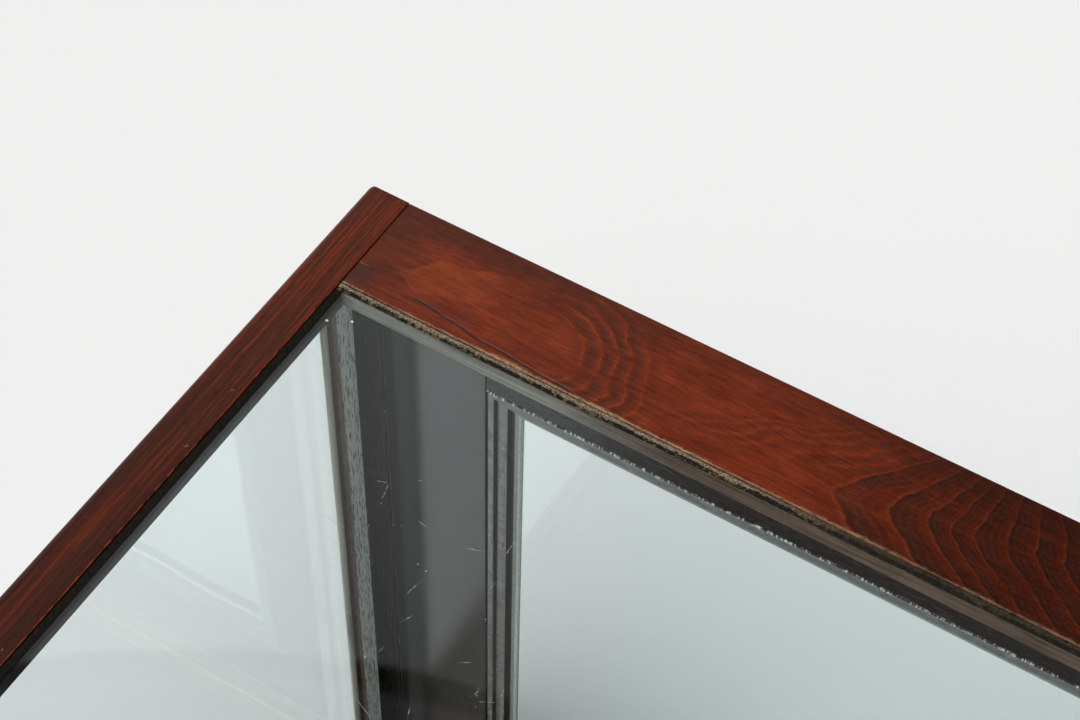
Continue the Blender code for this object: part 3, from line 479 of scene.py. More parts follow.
def narrow_rail_wood(name, along, seed, inner, reach):
    """A narrow top rail: darker straight grain, painted shade towards one end of its length, and a bright line where
    the inner edge is rubbed.
    """
    finish = new_finish(name)
    u, v, w = grain_axes(finish, along)
    drift = finish.noise(u * 6.0 + seed, v * 34.0, w * 20.0, detail=3.0)
    bands = finish.noise(u * 3.0 + seed, v * 230.0 + drift * 5.0, w * 90.0, detail=3.0, roughness=0.62)
    fibre, pores = fibre_and_pores(finish, u, v, w, seed)
    light, dark, flame = mahogany()
    value = bands * 0.55 + fibre * 0.40 + drift * 0.20
    colour = finish.ramp(value, ((0.42, dark * 0.80), (0.56, dark * 1.35), (0.66, light * 0.86),
                                 (0.78, light * 1.25)))
    # Painted shade: the rail is darkened towards the low end of its length, the front end of a side rail.
    colour = finish.shade(colour, 0.62 + u.smooth(-0.06, 0.20) * 0.38)
    colour = finish.mix(pores * 0.75, colour, dark * 0.35)
    chip = finish.noise(u * 210.0 + seed, v * 210.0, w * 210.0, detail=3.0)
    fleck = chip.smooth(0.71, 0.77)
    colour = finish.mix(fleck * 0.5, colour, tint("worn_wood", 0.5))
    drop = TOP - w
    inside = inner - abs(v)
    edge = (inside * inside + drop * drop).root() + (chip - 0.5) * 0.0020
    rubbed = edge.fade(0.0003, 0.0009) * u.fade(reach - 0.001, reach)
    colour = finish.mix(rubbed * 0.85, colour, flame * 0.85)
    lip = finish.mix(fibre, (0.0051, 0.0051, 0.0051), (0.0384, 0.0371, 0.0333))
    colour = finish.mix(under_glass(inside, drop, 0.0), colour, lip)
    roughness = 0.30 + rubbed * 0.2 + pores * 0.2 + drift * 0.08
    return finish.coat(colour, roughness, 0.20, fibre * 0.3 - pores * 0.8, 0.00010)


def stained_wood(name, along, seed, gloss, rub, base=None, outside=None):
    """Dark stained wood, smooth and glossy or dull, with brown where it is rubbed, and polished where outside is 1."""
    finish = new_finish(name)
    u, v, w = grain_axes(finish, along)
    fibre = finish.noise(u * 5.0 + seed, v * 520.0, w * 520.0, detail=2.0, roughness=0.6)
    cloud = finish.noise(u * 14.0 + seed, v * 40.0, w * 40.0, detail=4.0)
    pores = finish.noise(u * 60.0, v * 1300.0 + seed, w * 1300.0, detail=1.0).smooth(0.62, 0.74)
    stained = Vector(base or tint("stained_wood"))
    colour = finish.ramp(fibre, ((0.25, stained * 0.75), (0.75, stained * 1.25)))
    rubbed = cloud.smooth(0.68 - rub * 0.2, 0.88)
    colour = finish.mix(rubbed * (0.15 + rub * 0.7), colour, tint("stain_rub"))
    colour = finish.mix(pores * 0.5, colour, stained * 0.4)
    dull = 0.44 - 0.30 * gloss + rubbed * 0.12 + pores * 0.08 + fibre * 0.06
    if outside:
        polished = outside(finish)
        colour = finish.mix(polished, colour, straight_grain(finish, along, seed + 2.0, 0.9)[0])
        dull = dull + (0.34 - dull) * polished
    return finish.coat(colour, dull, 0.55, fibre * 0.5 - pores * 0.5, 0.00002 + 0.00008 * (1.0 - gloss))


def bead_wood(name, seed, gloss, base):
    """One member of the door moulding in its given base colour, with white flecks along the top of its fillet. The
    hollow's dark base is painted shade, and the slope's and lip's light bases are painted highlights.
    """
    finish = new_finish(name)
    base = Vector(base)
    x, y, z = finish.place()
    streak = finish.noise(x * 260.0 + seed, y * 420.0, z * 6.0, detail=2.0)
    across = finish.noise(x * 6.0 + seed, y * 420.0, z * 260.0, detail=2.0)
    cloud = finish.noise(x * 24.0 + seed, y * 60.0, z * 16.0, detail=4.0)
    colour = finish.ramp(streak * 0.5 + across * 0.5, ((0.30, base * 0.72), (0.70, base * 1.28)))
    colour = finish.mix(cloud.smooth(0.58, 0.80) * 0.35, colour, tint("stain_rub"))
    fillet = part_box("left_door_bead")[1].z - 0.0012
    top = z.smooth(fillet - 0.0008, fillet - 0.0004)
    flecks = finish.noise(x * 800.0, y * 300.0, z * 200.0, detail=4.0).smooth(0.50, 0.62)
    colour = finish.mix(top * flecks * 0.85, colour, (0.7168, 0.7296, 0.704))
    roughness = 0.46 - 0.28 * gloss + cloud * 0.08 + top * 0.2
    return finish.coat(colour, roughness, 0.55, streak + flecks * top, 0.00004)


def door_stile_wood(name):
    """Glossy dark door stile, faintly reeded, with a pale line on its closing edge that is rubbed wear with a painted
    highlight along the arris.
    """
    finish = new_finish(name)
    x, y, z = finish.place()
    reeds = finish.noise(x * 460.0, y * 300.0, z * 2.5, detail=2.0, roughness=0.6)
    cloud = finish.noise(x * 26.0, y * 26.0, z * 8.0, detail=4.0)
    dusty = Vector((0.0260, 0.0260, 0.0230))
    colour = finish.ramp(reeds, ((0.30, dusty * 0.75), (0.70, dusty * 1.30)))
    colour = finish.mix(cloud.smooth(0.62, 0.84) * 0.20, colour, tint("stain_rub"))
    chip = finish.noise(x * 300.0, y * 300.0, z * 60.0, detail=3.0)
    fronts = [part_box(f"{word}_door_closing_stile")[0].y for word in ("left", "right")]
    to_front = abs(y - fronts[0]).least(abs(y - fronts[1]))
    # Pale line on the closing arris: rubbed wood, lightened further as a painted highlight.
    closing = (abs(x) + (chip - 0.5) * 0.0012).smooth(0.47350, 0.47410)
    closing = closing * to_front.fade(0.0012, 0.0022)
    colour = finish.mix(closing * 0.9, colour, finish.mix(chip, (0.064, 0.0589, 0.0512), (0.3072, 0.288, 0.256)))
    roughness = 0.11 + reeds * 0.08 + closing * 0.3 + cloud * 0.03
    return finish.coat(colour, roughness, 1.0, reeds, 0.00001, IOR=1.55)


def stile_wood(name):
    """The moulded stile: dusty open-grained flat, brown stain beside a quirk darkened with painted shade, and a rubbed
    bead.
    """
    finish = new_finish(name)
    x, y, z = finish.place()
    v = BACK_EDGE - y
    fibre = finish.noise(x * 300.0, y * 420.0, z * 7.0, detail=2.0, roughness=0.6)
    pores = finish.noise(x * 900.0, y * 1350.0, z * 150.0, detail=1.5).smooth(0.53, 0.61)
    cloud = finish.noise(x * 20.0, y * 90.0, z * 9.0, detail=4.0)
    waver = (cloud - 0.5) * 0.005
    dusty = finish.mix(fibre, (0.3400, 0.3460, 0.3200), (0.5700, 0.5780, 0.5380))
    colour = finish.mix(pores * 0.80, dusty, (0.0358, 0.0358, 0.0333))
    stain = (v + waver).smooth(0.0730, 0.0752)
    colour = finish.mix(stain * 0.92, colour, finish.ramp(cloud * 0.7 + fibre * 0.3, (
        (0.35, (0.0620, 0.0410, 0.0270)), (0.52, (0.1400, 0.0810, 0.0450)), (0.70, (0.3100, 0.1400, 0.0520)))))
    # Painted shade: the quirk's recess is painted near black.
    quirk = v.smooth(0.0777, 0.0787)
    colour = finish.mix(quirk * 0.94, colour, (0.0128, 0.009, 0.0064))
    bead = v.smooth(0.0809, 0.0817)
    worn = (cloud + fibre * 0.3).smooth(0.45, 0.75)
    colour = finish.mix(bead, colour, finish.mix(worn, (0.1250, 0.1250, 0.1090), (0.2600, 0.2460, 0.2030)))
    roughness = 0.42 + pores * 0.2 - bead * 0.1
    return finish.coat(colour, roughness, 0.5, fibre * 0.3 - pores * (1.0 - stain), 0.00014)


def old_glass(name):
    """Sheet glass that lets lamp light through, with the slight waves of drawn glass."""
    finish = new_finish(name)
    x, y, z = finish.place()
    wave = finish.noise(x * 7.0, y * 7.0, z * 7.0, detail=1.0)
    pane = finish.surface(Base_Color=tint("glass_tint"), Roughness=0.0, IOR=1.5, Transmission_Weight=1.0,
                          Normal=finish.bump(wave, 0.00035))
    clear = finish.node("ShaderNodeBsdfTransparent", inputs={"Color": (*tint("glass_tint", 0.95), 1.0)})
    shadow = finish.node("ShaderNodeLightPath", output="Is Shadow Ray")
    return finish.output(finish.node("ShaderNodeMixShader", inputs={0: shadow, 1: pane, 2: clear}))


def putty_finish(name):
    """Dry black putty. Beside the wide rail it is dusty and flecked with ochre."""
    finish = new_finish(name)
    x, y, z = finish.place()
    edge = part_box("top_pane_putty")[1].y
    lumps = finish.noise(x * 380.0, y * 560.0, z * 560.0, detail=4.0, roughness=0.7)
    specks = finish.noise(x * 1100.0, y * 1700.0, z * 1700.0, detail=3.0, roughness=0.6)
    run = finish.noise(x * 34.0, y * 10.0, z * 10.0, detail=2.0)
    colour = finish.ramp(lumps, ((0.36, tint("putty", 0.12)), (0.66, tint("putty", 0.50))))
    beside = y.smooth(edge - 0.0050, edge - 0.0036)
    near = 1.0 - (x - LEFT_EDGE).smooth(0.24, 0.33) * 0.88
    ochre = (lumps + (run - 0.5) * 0.40).smooth(0.52, 0.66) * beside * near
    colour = finish.mix(ochre * 0.80, colour, finish.mix(specks, tint("putty_fleck"), tint("putty_fleck", 0.35)))
    dusty = (y + (lumps - 0.5) * 0.0030 + (run - 0.5) * 0.0030).smooth(edge - 0.0021, edge - 0.0013) * near
    dust = finish.ramp(specks, (
        (0.34, (0.026, 0.017, 0.010)), (0.50, (0.170, 0.122, 0.082)), (0.66, (0.380, 0.320, 0.250))))
    colour = finish.mix(dusty * 0.95, colour, dust)
    return finish.coat(colour, 0.70 + specks * 0.3, 0.2, lumps + specks * 0.4, 0.0004)


def scratch_finish(name, cover):
    """Whitened marks on the glass, broken along their length."""
    finish = new_finish(name)
    x, y, z = finish.place()
    grit = finish.noise(x * 1100.0, y * 1100.0, z * 900.0, detail=2.0)
    shade = finish.mix(grit, (0.620, 0.650, 0.640), (0.900, 0.920, 0.910))
    alpha = cover + grit.smooth(0.38, 0.70) * (0.9 - cover) * 0.7
    return finish.output(finish.surface(Base_Color=shade, Roughness=0.55 + grit * 0.2, Alpha=alpha))


def aged_brass(name):
    """Brass with a brown film in the hollows and fine rubbing marks."""
    finish = new_finish(name)
    x, y, z = finish.place()
    film = finish.noise(x * 160.0, y * 160.0, z * 160.0, detail=4.0, roughness=0.65)
    rub = finish.noise(x * 900.0, y * 300.0, z * 2200.0, detail=2.0)
    share = film.smooth(0.42, 0.68)
    colour = finish.mix(share * 0.8, tint("brass"), tint("tarnish"))
    roughness = 0.24 + share * 0.3 + rub * 0.1
    return finish.coat(colour, roughness, 0.5, rub, 0.00003, Metallic=1.0 - share * 0.35)


# Finishes: the maker of each, and what it takes after the name
MAKERS = {
    "figured_rail": (figured_wood,),
    "narrow_rail_y": (narrow_rail_wood, "Y", 2.2, RIGHT_EDGE - NARROW_RAIL, BACK_EDGE - WIDE_RAIL),
    "narrow_rail_x": (narrow_rail_wood, "X", 6.4, BACK_EDGE - NARROW_RAIL, RIGHT_EDGE),
    "stained_x": (stained_wood, "X", 1.1, 0.7, 0.35),
    "stained_y": (stained_wood, "Y", 4.3, 0.5, 0.35),
    "back_post": (stained_wood, "Z", 7.9, 0.9, 0.05, (0.0270, 0.0245, 0.0215), post_outside),
    "door_rail": (stained_wood, "X", 1.1, 0.7, 0.35, None, facing_out),
    "floor_board": (polished_wood, "X", 3.3, 0.30),
    "stile_wood": (stile_wood,),
    "door_stile": (door_stile_wood,),
    # The moulding's finishes are lit and shaded copies of one dark wood: painted shade in the hollow, painted
    # highlights on the slope and lip.
    "bead_face": (bead_wood, 2.7, 0.8, (0.1480, 0.1465, 0.1350)),
    "bead_hollow": (bead_wood, 6.1, 0.1, (0.0205, 0.0154, 0.0115)),
    "bead_slope": (bead_wood, 8.8, 0.6, (0.2000, 0.2060, 0.1920)),
    "bead_lip": (bead_wood, 4.4, 0.4, (0.3700, 0.3860, 0.3630)),
    "glass": (old_glass,),
    "putty": (putty_finish,),
    "scratches": (scratch_finish, 0.12),
    "paint_spots": (scratch_finish, 0.75),
    "brass": (aged_brass,),
}
for axis, seed in (("X", 1.7), ("Y", 5.3), ("Z", 9.1)):
    MAKERS[f"mahogany_{axis.lower()}"] = (polished_wood, axis, seed)
    MAKERS[f"rubbed_{axis.lower()}"] = (polished_wood, axis, seed, 1.25, 0.7)
for axis, seed in (("X", 1.1), ("Y", 7.9)):
    MAKERS[f"rubbed_stain_{axis.lower()}"] = (stained_wood, axis, seed, 0.3, 0.5, (0.0538, 0.0461, 0.0384))
FINISHES = {}


def finish_named(name):
    """A finish, made the first time that it is asked for."""
    if name not in FINISHES:
        maker, *values = MAKERS[name]
        FINISHES[name] = maker(name, *values)
    return FINISHES[name]


def deselect_all():
    if bpy.context.mode != "OBJECT":
        bpy.ops.object.mode_set(mode="OBJECT")
    bpy.ops.object.select_all(action="DESELECT")


def latest(name):
    """The object that was just added, under a name."""
    piece = bpy.context.active_object
    piece.name = name
    return piece


def make_active(piece):
    deselect_all()
    piece.select_set(True)
    bpy.context.view_layer.objects.active = piece


@contextmanager
def editing(piece):
    """Edit mode on one piece, with nothing selected at the start."""
    make_active(piece)
    bpy.ops.object.mode_set(mode="EDIT")
    bpy.ops.mesh.select_mode(type="VERT")
    bpy.ops.mesh.select_all(action="DESELECT")
    yield
    bpy.ops.object.mode_set(mode="OBJECT")


def face_outwards():
    """Turns all the faces outwards, in edit mode."""
    bpy.ops.mesh.select_all(action="SELECT")
    bpy.ops.mesh.normals_make_consistent(inside=False)


def select_where(piece, chosen, kind):
    """Selects the edges or faces that satisfy chosen, in edit mode."""
    bpy.ops.mesh.select_mode(type={"edges": "EDGE", "faces": "FACE"}[kind])
    bpy.ops.mesh.select_all(action="DESELECT")
    mesh = bmesh.from_edit_mesh(piece.data)
    for item in getattr(mesh, kind):
        item.select_set(chosen(item))
    mesh.select_flush_mode()
    bmesh.update_edit_mesh(piece.data)


def apply_modifier(piece, name):
    make_active(piece)
    bpy.ops.object.modifier_apply(modifier=name)


def smooth_by_angle(piece, degrees):
    """Smooth shading that leaves the large flat faces flat."""
    make_active(piece)
    bpy.ops.object.shade_smooth_by_angle(angle=math.radians(degrees))
    weighted = piece.modifiers.new("flat faces", "WEIGHTED_NORMAL")
    weighted.mode = "FACE_AREA"
    weighted.weight = 100
    weighted.keep_sharp = True
    apply_modifier(piece, weighted.name)


def copy_of(node):
    """A merged copy of a CAD node that stands for it."""
    piece = bpy.data.objects.new(f"worked_{node}", frame["nodes"][node].data.copy())
    bpy.context.scene.collection.objects.link(piece)
    piece.data.materials.clear()
    with editing(piece):
        bpy.ops.mesh.select_all(action="SELECT")
        bpy.ops.mesh.remove_doubles(threshold=MERGE_DISTANCE)
        bpy.ops.mesh.dissolve_limited(angle_limit=math.radians(0.5))
    return piece


def settle(piece, nodes, *finishes):
    """Gives a finished piece its finishes and its body, and hides the nodes that it stands for."""
    for name in finishes:
        piece.data.materials.append(finish_named(name))
    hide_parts(*nodes)
    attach(piece, BODY_OF[nodes[0]])


def soften(piece, width, angle, edge_slot=-1):
    """Rounds the edges sharper than an angle. The new faces take the finish in edge_slot, or that of the old ones."""
    bevel = piece.modifiers.new("soft edges", "BEVEL")
    bevel.width = width
    bevel.segments = EDGE_SEGMENTS
    bevel.limit_method = "ANGLE"
    bevel.angle_limit = math.radians(angle)
    bevel.use_clamp_overlap = False
    bevel.material = edge_slot
    apply_modifier(piece, bevel.name)
    smooth_by_angle(piece, 60.0)


def twin_of(piece, name, shift=(0.0, 0.0, 0.0), mirrored=False):
    """A copy with its own mesh, moved, or mirrored in the middle of the cabinet."""
    make_active(piece)
    bpy.ops.object.duplicate()
    twin = latest(name)
    twin.location = shift
    if mirrored:
        twin.scale = (-1.0, 1.0, 1.0)
    bpy.ops.object.transform_apply(location=True, rotation=True, scale=True)
    with editing(twin):
        face_outwards()
    return twin


def glaze(node):
    """A pane with the sharpness taken off its edges, whose faces stay flat."""
    pane = copy_of(node)
    bevel = pane.modifiers.new("ground edges", "BEVEL")
    bevel.width = sizes().glass_edge
    bevel.segments = EDGE_SEGMENTS
    apply_modifier(pane, bevel.name)
    settle(pane, [node], "glass")


def plain_member(node, finish, edge_finish, back_finish=None):
    """A straight wooden member with softened, rubbed edges. Its back may have a finish of its own."""
    piece = copy_of(node)
    for name in filter(None, (finish, edge_finish, back_finish)):
        piece.data.materials.append(finish_named(name))
    if back_finish:
        with editing(piece):
            select_where(piece, lambda face: face.normal.y > 0.6, "faces")
            piece.active_material_index = 2
            bpy.ops.object.material_slot_assign()
    soften(piece, sizes().edge_round, 40.0, 1)
    settle(piece, [node])


def cut_lengthwise(piece, axis, step):
    """Cuts a piece across at equal steps along an axis."""
    places = [vert.co[axis] for vert in piece.data.vertices]
    count = int((max(places) - min(places)) / step)
    normal = [0.0, 0.0, 0.0]
    normal[axis] = 1.0
    with editing(piece):
        for i in range(1, count):
            at = [0.0, 0.0, 0.0]
            at[axis] = min(places) + i * step
            bpy.ops.mesh.select_all(action="SELECT")
            bpy.ops.mesh.bisect(plane_co=at, plane_no=normal)


def chip_edge(piece, chosen, texture_size, strength):
    """Pushes the chosen vertices in by a noise, as knocks and wear do."""
    group = piece.vertex_groups.new(name="worn edge")
    group.add([vert.index for vert in piece.data.vertices if chosen(vert.co)], 1.0, "REPLACE")
    texture = bpy.data.textures.new("chips", "CLOUDS")
    texture.noise_scale = texture_size
    texture.noise_depth = 3
    displace = piece.modifiers.new("chips", "DISPLACE")
    displace.texture = texture
    displace.texture_coords = "LOCAL"
    displace.vertex_group = group.name
    displace.strength = strength
    displace.mid_level = 1.0
    apply_modifier(piece, displace.name)
    piece.vertex_groups.clear()


def top_rail(node, finish, along, across, inner, chips):
    """A rail of the top frame with its inner top edge rounded, cut up and worn."""
    piece = copy_of(node)

    def on_arris(co, slack):
        return abs(abs(co[across]) - inner) < slack and co.z > TOP - slack

    with editing(piece):
        select_where(piece, lambda edge: all(on_arris(vert.co, ARRIS_SLACK) for vert in edge.verts), "edges")
        bpy.ops.mesh.bevel(offset=sizes().arris_round, segments=3, profile=0.6, affect="EDGES")
    soften(piece, sizes().edge_round * 0.4, 50.0)
    cut_lengthwise(piece, along, sizes().chip_step)
    chip_edge(piece, lambda co: on_arris(co, ARRIS_ZONE), CHIP_SIZE, chips)
    smooth_by_angle(piece, 50.0)
    settle(piece, [node], finish)


class CABINET_OT_top_frame(bpy.types.Operator):
    """Works the four rails of the top frame, with worn inner edges"""

    bl_idname = "cabinet.top_frame"
    bl_label = "Top frame"

    def execute(self, context):
        low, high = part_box("top_pane_putty")
        chips = sizes().chip_depth
        top_rail("top_back_rail", "figured_rail", 0, 1, high.y + FIT_GAP, chips)
        top_rail("top_front_rail", "narrow_rail_x", 0, 1, FIT_GAP - low.y, chips * 0.5)
        top_rail("top_side_rail_left", "narrow_rail_y", 1, 0, FIT_GAP - low.x, chips * 0.5)
        top_rail("top_side_rail_right", "narrow_rail_y", 1, 0, high.x + FIT_GAP, chips * 0.5)
        return {"FINISHED"}


# Marks on the glass, from the left and the back edge in mm. A scratch also has its length in mm and turn in degrees
SCRATCHES = (
    (104.9, 187.5, 22, 0), (112.1, 156.2, 7.1, 19), (127.6, 145.8, 3, 32), (142.2, 166.2, 4.6, 171),
    (158.3, 198.2, 15.4, 79), (164.8, 214.4, 8.3, 67), (164.1, 234.1, 4, 87), (184.7, 156.1, 11.6, 92),
    (192.2, 252.9, 8.8, 110), (173.6, 262.6, 14.5, 158), (219.6, 231, 8, 29), (212.5, 230.3, 6, 69),
    (213.9, 215.6, 4.3, 65), (200.1, 219, 5.7, 32), (171.8, 165.1, 9.1, 17), (188.9, 177.8, 4.2, 86),
    (185, 126, 2.6, 28), (228.4, 194.9, 3.6, 55), (212.9, 229, 5.6, 110), (222.9, 224.3, 4.8, 103),
    (116.9, 159.6, 9.9, 104), (300, 190, 9, 72), (352, 262, 12, 50), (410, 330, 10, 100),
    (520, 210, 14, 20), (640, 300, 11, 135), (760, 240, 16, 60), (860, 380, 9, 15),
    (470, 400, 13, 80), (700, 420, 10, 40), (120, 400, 12, 120), (260, 430, 9, 30),
)
PAINT_SPOTS = ((33, 87.9), (44.2, 81.8))
SPECKS = (
    (140.3, 225.2), (131.1, 173.8), (134.6, 172.2), (147.8, 190.6), (152.9, 186.2),
    (158.2, 187.5), (160.2, 174.5), (142, 224.1), (160.2, 240.7), (125.2, 195.9), (121.3, 180.5), (208, 188.9),
    (195.8, 194.9), (202.5, 237.6), (216.5, 235.8), (119.2, 166.7), (128.9, 166.1), (203.9, 197.7), (420, 180),
    (560, 350), (690, 150), (820, 300), (900, 440), (330, 360), (90, 330), (600, 460),
)
FIRST_SPECK, FIRST_SPECK_RADIUS = (0.09, 0.12), 0.0005
MARK_LIFT = 0.00003
SCRATCH_HALF_WIDTH = 0.00014
SPECK_HALVES = (0.00036, 0.00032)
SPOT_HALVES = (0.00085, 0.00070)


class CABINET_OT_top_glass(bpy.types.Operator):
    """Lays the scratched top pane and its bed of old putty"""

    bl_idname = "cabinet.top_glass"
    bl_label = "Top glass and putty"

    def execute(self, context):
        glaze("top_pane")
        self.lay_putty()
        self.scratch_pane()
        return {"FINISHED"}

    def lay_putty(self):
        putty = copy_of("top_pane_putty")
        for axis in (0, 1):
            cut_lengthwise(putty, axis, PUTTY_STEP)
        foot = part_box("top_pane_putty")[0].z
        chip_edge(putty, lambda co: co.z > foot + 0.0002, PUTTY_STEP, PUTTY_LUMPS)
        smooth_by_angle(putty, 60.0)
        settle(putty, ["top_pane_putty"], "putty")

    def scratch_pane(self):
        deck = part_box("top_pane")[1].z + MARK_LIFT
        deselect_all()
        place = (LEFT_EDGE + FIRST_SPECK[0], BACK_EDGE - FIRST_SPECK[1], deck)
        bpy.ops.mesh.primitive_circle_add(vertices=6, radius=FIRST_SPECK_RADIUS, fill_type="NGON", location=place)
        marks = latest("top_pane_scratches")
        bpy.ops.object.transform_apply(location=True, rotation=True, scale=True)
        for name in ("scratches", "paint_spots"):
            marks.data.materials.append(finish_named(name))
        with editing(marks):
            for across, deep, length, turn in SCRATCHES:
                self.add_mark(across, deep, deck, length / 2000.0, SCRATCH_HALF_WIDTH, turn)
            for across, deep in SPECKS:
                self.add_mark(across, deep, deck, *SPECK_HALVES, 0.0)
            marks.active_material_index = 1
            for across, deep in PAINT_SPOTS:
                self.add_mark(across, deep, deck, *SPOT_HALVES, 0.0)
                bpy.ops.object.material_slot_assign()
        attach(marks, "root")

    def add_mark(self, across, deep, deck, half_length, half_width, turn):
        """One thin lozenge on the glass."""
        place = Vector((LEFT_EDGE + across / 1000.0, BACK_EDGE - deep / 1000.0, deck))
        bpy.ops.mesh.select_all(action="DESELECT")
        bpy.ops.mesh.primitive_circle_add(vertices=8, radius=1.0, fill_type="NGON", location=place)
        mesh = bmesh.from_edit_mesh(bpy.context.active_object.data)
        spin = Matrix.Rotation(math.radians(turn), 3, "Z")
        for vert in mesh.verts:
            if vert.select:
                away = vert.co - place
                vert.co = place + spin @ Vector((away.x * half_length, away.y * half_width, 0.0))
        bmesh.update_edit_mesh(bpy.context.active_object.data)


class CABINET_OT_carcass(bpy.types.Operator):
    """Works the polished posts, rails, sill and base moulding"""

    bl_idname = "cabinet.carcass"
    bl_label = "Carcass"

    def execute(self, context):
        for node in ("front_post_left", "front_post_right"):
            plain_member(node, "mahogany_z", "rubbed_z")
        for node in ("front_upper_rail", "front_lower_rail", "door_sill", "base_moulding_front"):
            plain_member(node, "mahogany_x", "rubbed_x")
        for side in ("left", "right"):
            for node in (f"side_upper_rail_{side}", f"side_lower_rail_{side}", f"base_moulding_{side}"):
                plain_member(node, "mahogany_y", "rubbed_y")
        return {"FINISHED"}


class CABINET_OT_inner_wood(bpy.types.Operator):
    """Works the dark stained posts, moulded stiles and floor board"""

    bl_idname = "cabinet.inner_wood"
    bl_label = "Stained inner wood"

    def execute(self, context):
        for side in ("left", "right"):
            plain_member(f"back_post_{side}", "back_post", "back_post")
        left = self.mould_stile("side_stile_left")
        right = twin_of(left, "worked_side_stile_right", mirrored=True)
        for stile, node in ((left, "side_stile_left"), (right, "side_stile_right")):
            smooth_by_angle(stile, 40.0)
            settle(stile, [node], "stile_wood")
        plain_member("floor_board", "floor_board", "rubbed_stain_x")
        return {"FINISHED"}

    def mould_stile(self, node):
        """A stile with a quirk and a round bead along its front edge, extruded from its section."""
        low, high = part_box(node)
        side = math.copysign(1.0, low.x)
        face = min(abs(low.x), abs(high.x))
        back = max(abs(low.x), abs(high.x))
        rear, sight = high.y, low.y
        bead = STILE_BEAD
        centre = sight + bead * 2.2
        quirk = centre + bead
        section = [(back, rear), (face, rear), (face, quirk + 0.0030), (face + 0.0007, quirk + 0.0026),
                   (face + 0.0020, quirk + 0.0004), (face + 0.0020, quirk - 0.0004)]
        for i in range(13):
            turn = math.radians(70.0 - i * 17.0)
            section.append((face + bead - bead * math.cos(turn), centre + bead * math.sin(turn)))
        section.append((back, sight + 0.0068))
        outline = [(side * across, deep) for across, deep in section]
        return extruded(f"worked_{node}", outline, low.z, high.z)


def extruded(name, outline, start, end):
    """A straight upright length of one section."""
    deselect_all()
    bpy.ops.mesh.primitive_circle_add(vertices=len(outline), radius=1.0, fill_type="NGON")
    piece = latest(name)
    for vert, (x, y) in zip(piece.data.vertices, outline):
        vert.co = (x, y, start)
    with editing(piece):
        bpy.ops.mesh.select_all(action="SELECT")
        bpy.ops.mesh.extrude_region_move(TRANSFORM_OT_translate={"value": (0.0, 0.0, end - start)})
        face_outwards()
    return piece


class CABINET_OT_glazing(bpy.types.Operator):
    """Sets the front and side panes and their beads"""

    bl_idname = "cabinet.glazing"
    bl_label = "Fixed glazing"

    def execute(self, context):
        for node in ("front_pane", "side_pane_left", "side_pane_right"):
            glaze(node)
        plain_member("front_pane_bead", "stained_x", "rubbed_stain_x")
        plain_member("side_pane_bead_left", "stained_y", "rubbed_stain_y")
        plain_member("side_pane_bead_right", "stained_y", "rubbed_stain_y")
        return {"FINISHED"}


# Steps of the door moulding from its outer edge to the pane: finish, step inwards and step down, in metres. Finish 1
# is painted shade in the quirks and hollow; finishes 2 and 3 are painted highlights on the slope and lip.
BEAD_STEPS = (
    (1, 0.0003, 0.0009), (1, 0.0005, 0.0), (1, 0.0003, -0.0009), (0, 0.0032, 0.0), (0, 0.0003, 0.0002),
    (1, 0.0004, 0.0026), (1, 0.0005, 0.0003), (0, 0.0020, -0.0004), (0, 0.0022, 0.0), (0, 0.0018, 0.0004),
    (1, 0.0006, 0.0011), (1, 0.0010, 0.0013), (1, 0.0014, 0.0004), (2, 0.0016, -0.0003), (2, 0.0010, 0.0),
    (3, 0.0012, 0.0004), (3, 0.0006, 0.0008),
)


class CABINET_OT_doors(bpy.types.Operator):
    """Works the two sliding doors: frames, mitred mouldings and panes"""

    bl_idname = "cabinet.doors"
    bl_label = "Sliding doors"

    def execute(self, context):
        for word in ("left", "right"):
            for part in ("closing_stile", "meeting_stile"):
                plain_member(f"{word}_door_{part}", "door_stile", "door_stile", "mahogany_z")
            for part in ("top_rail", "bottom_rail"):
                plain_member(f"{word}_door_{part}", "door_rail", "door_rail")
            glaze(f"{word}_door_pane")
        left = self.mould_bead("left_door_bead")
        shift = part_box("right_door_bead")[0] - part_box("left_door_bead")[0]
        right = twin_of(left, "worked_right_door_bead", shift)
        for bead, node in ((left, "left_door_bead"), (right, "right_door_bead")):
            smooth_by_angle(bead, 30.0)
            settle(bead, [node])
        return {"FINISHED"}

    def mould_bead(self, node):
        """A mitred moulding: quirk, fillet, step, flat, hollow and rounded lip, worked inwards by insets."""
        low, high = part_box(node)
        deselect_all()
        bpy.ops.mesh.primitive_plane_add(size=1.0, rotation=(math.radians(90.0), 0.0, 0.0))
        piece = latest(f"worked_{node}")
        piece.scale = (high.x - low.x, high.z - low.z, 1.0)
        piece.location = ((low.x + high.x) / 2, low.y, (low.z + high.z) / 2)
        bpy.ops.object.transform_apply(location=True, rotation=True, scale=True)
        for finish in ("bead_face", "bead_hollow", "bead_slope", "bead_lip"):
            piece.data.materials.append(finish_named(finish))
        with editing(piece):
            bpy.ops.mesh.select_mode(type="FACE")
            bpy.ops.mesh.select_all(action="SELECT")
            for finish, inward, down in BEAD_STEPS:
                piece.active_material_index = finish
                bpy.ops.object.material_slot_assign()
                bpy.ops.mesh.inset(thickness=inward, depth=-down)
            bpy.ops.mesh.delete(type="FACE")
            bpy.ops.mesh.select_mode(type="EDGE")
            bpy.ops.mesh.select_all(action="SELECT")
            bpy.ops.mesh.region_to_loop()
            bpy.ops.mesh.extrude_edges_move(TRANSFORM_OT_translate={"value": (0.0, 0.0, 0.0)})
            mesh = bmesh.from_edit_mesh(piece.data)
            for vert in mesh.verts:
                if vert.select:
                    vert.co.y = high.y
            bmesh.update_edit_mesh(piece.data)
            bpy.ops.mesh.bridge_edge_loops()
            face_outwards()
        return piece


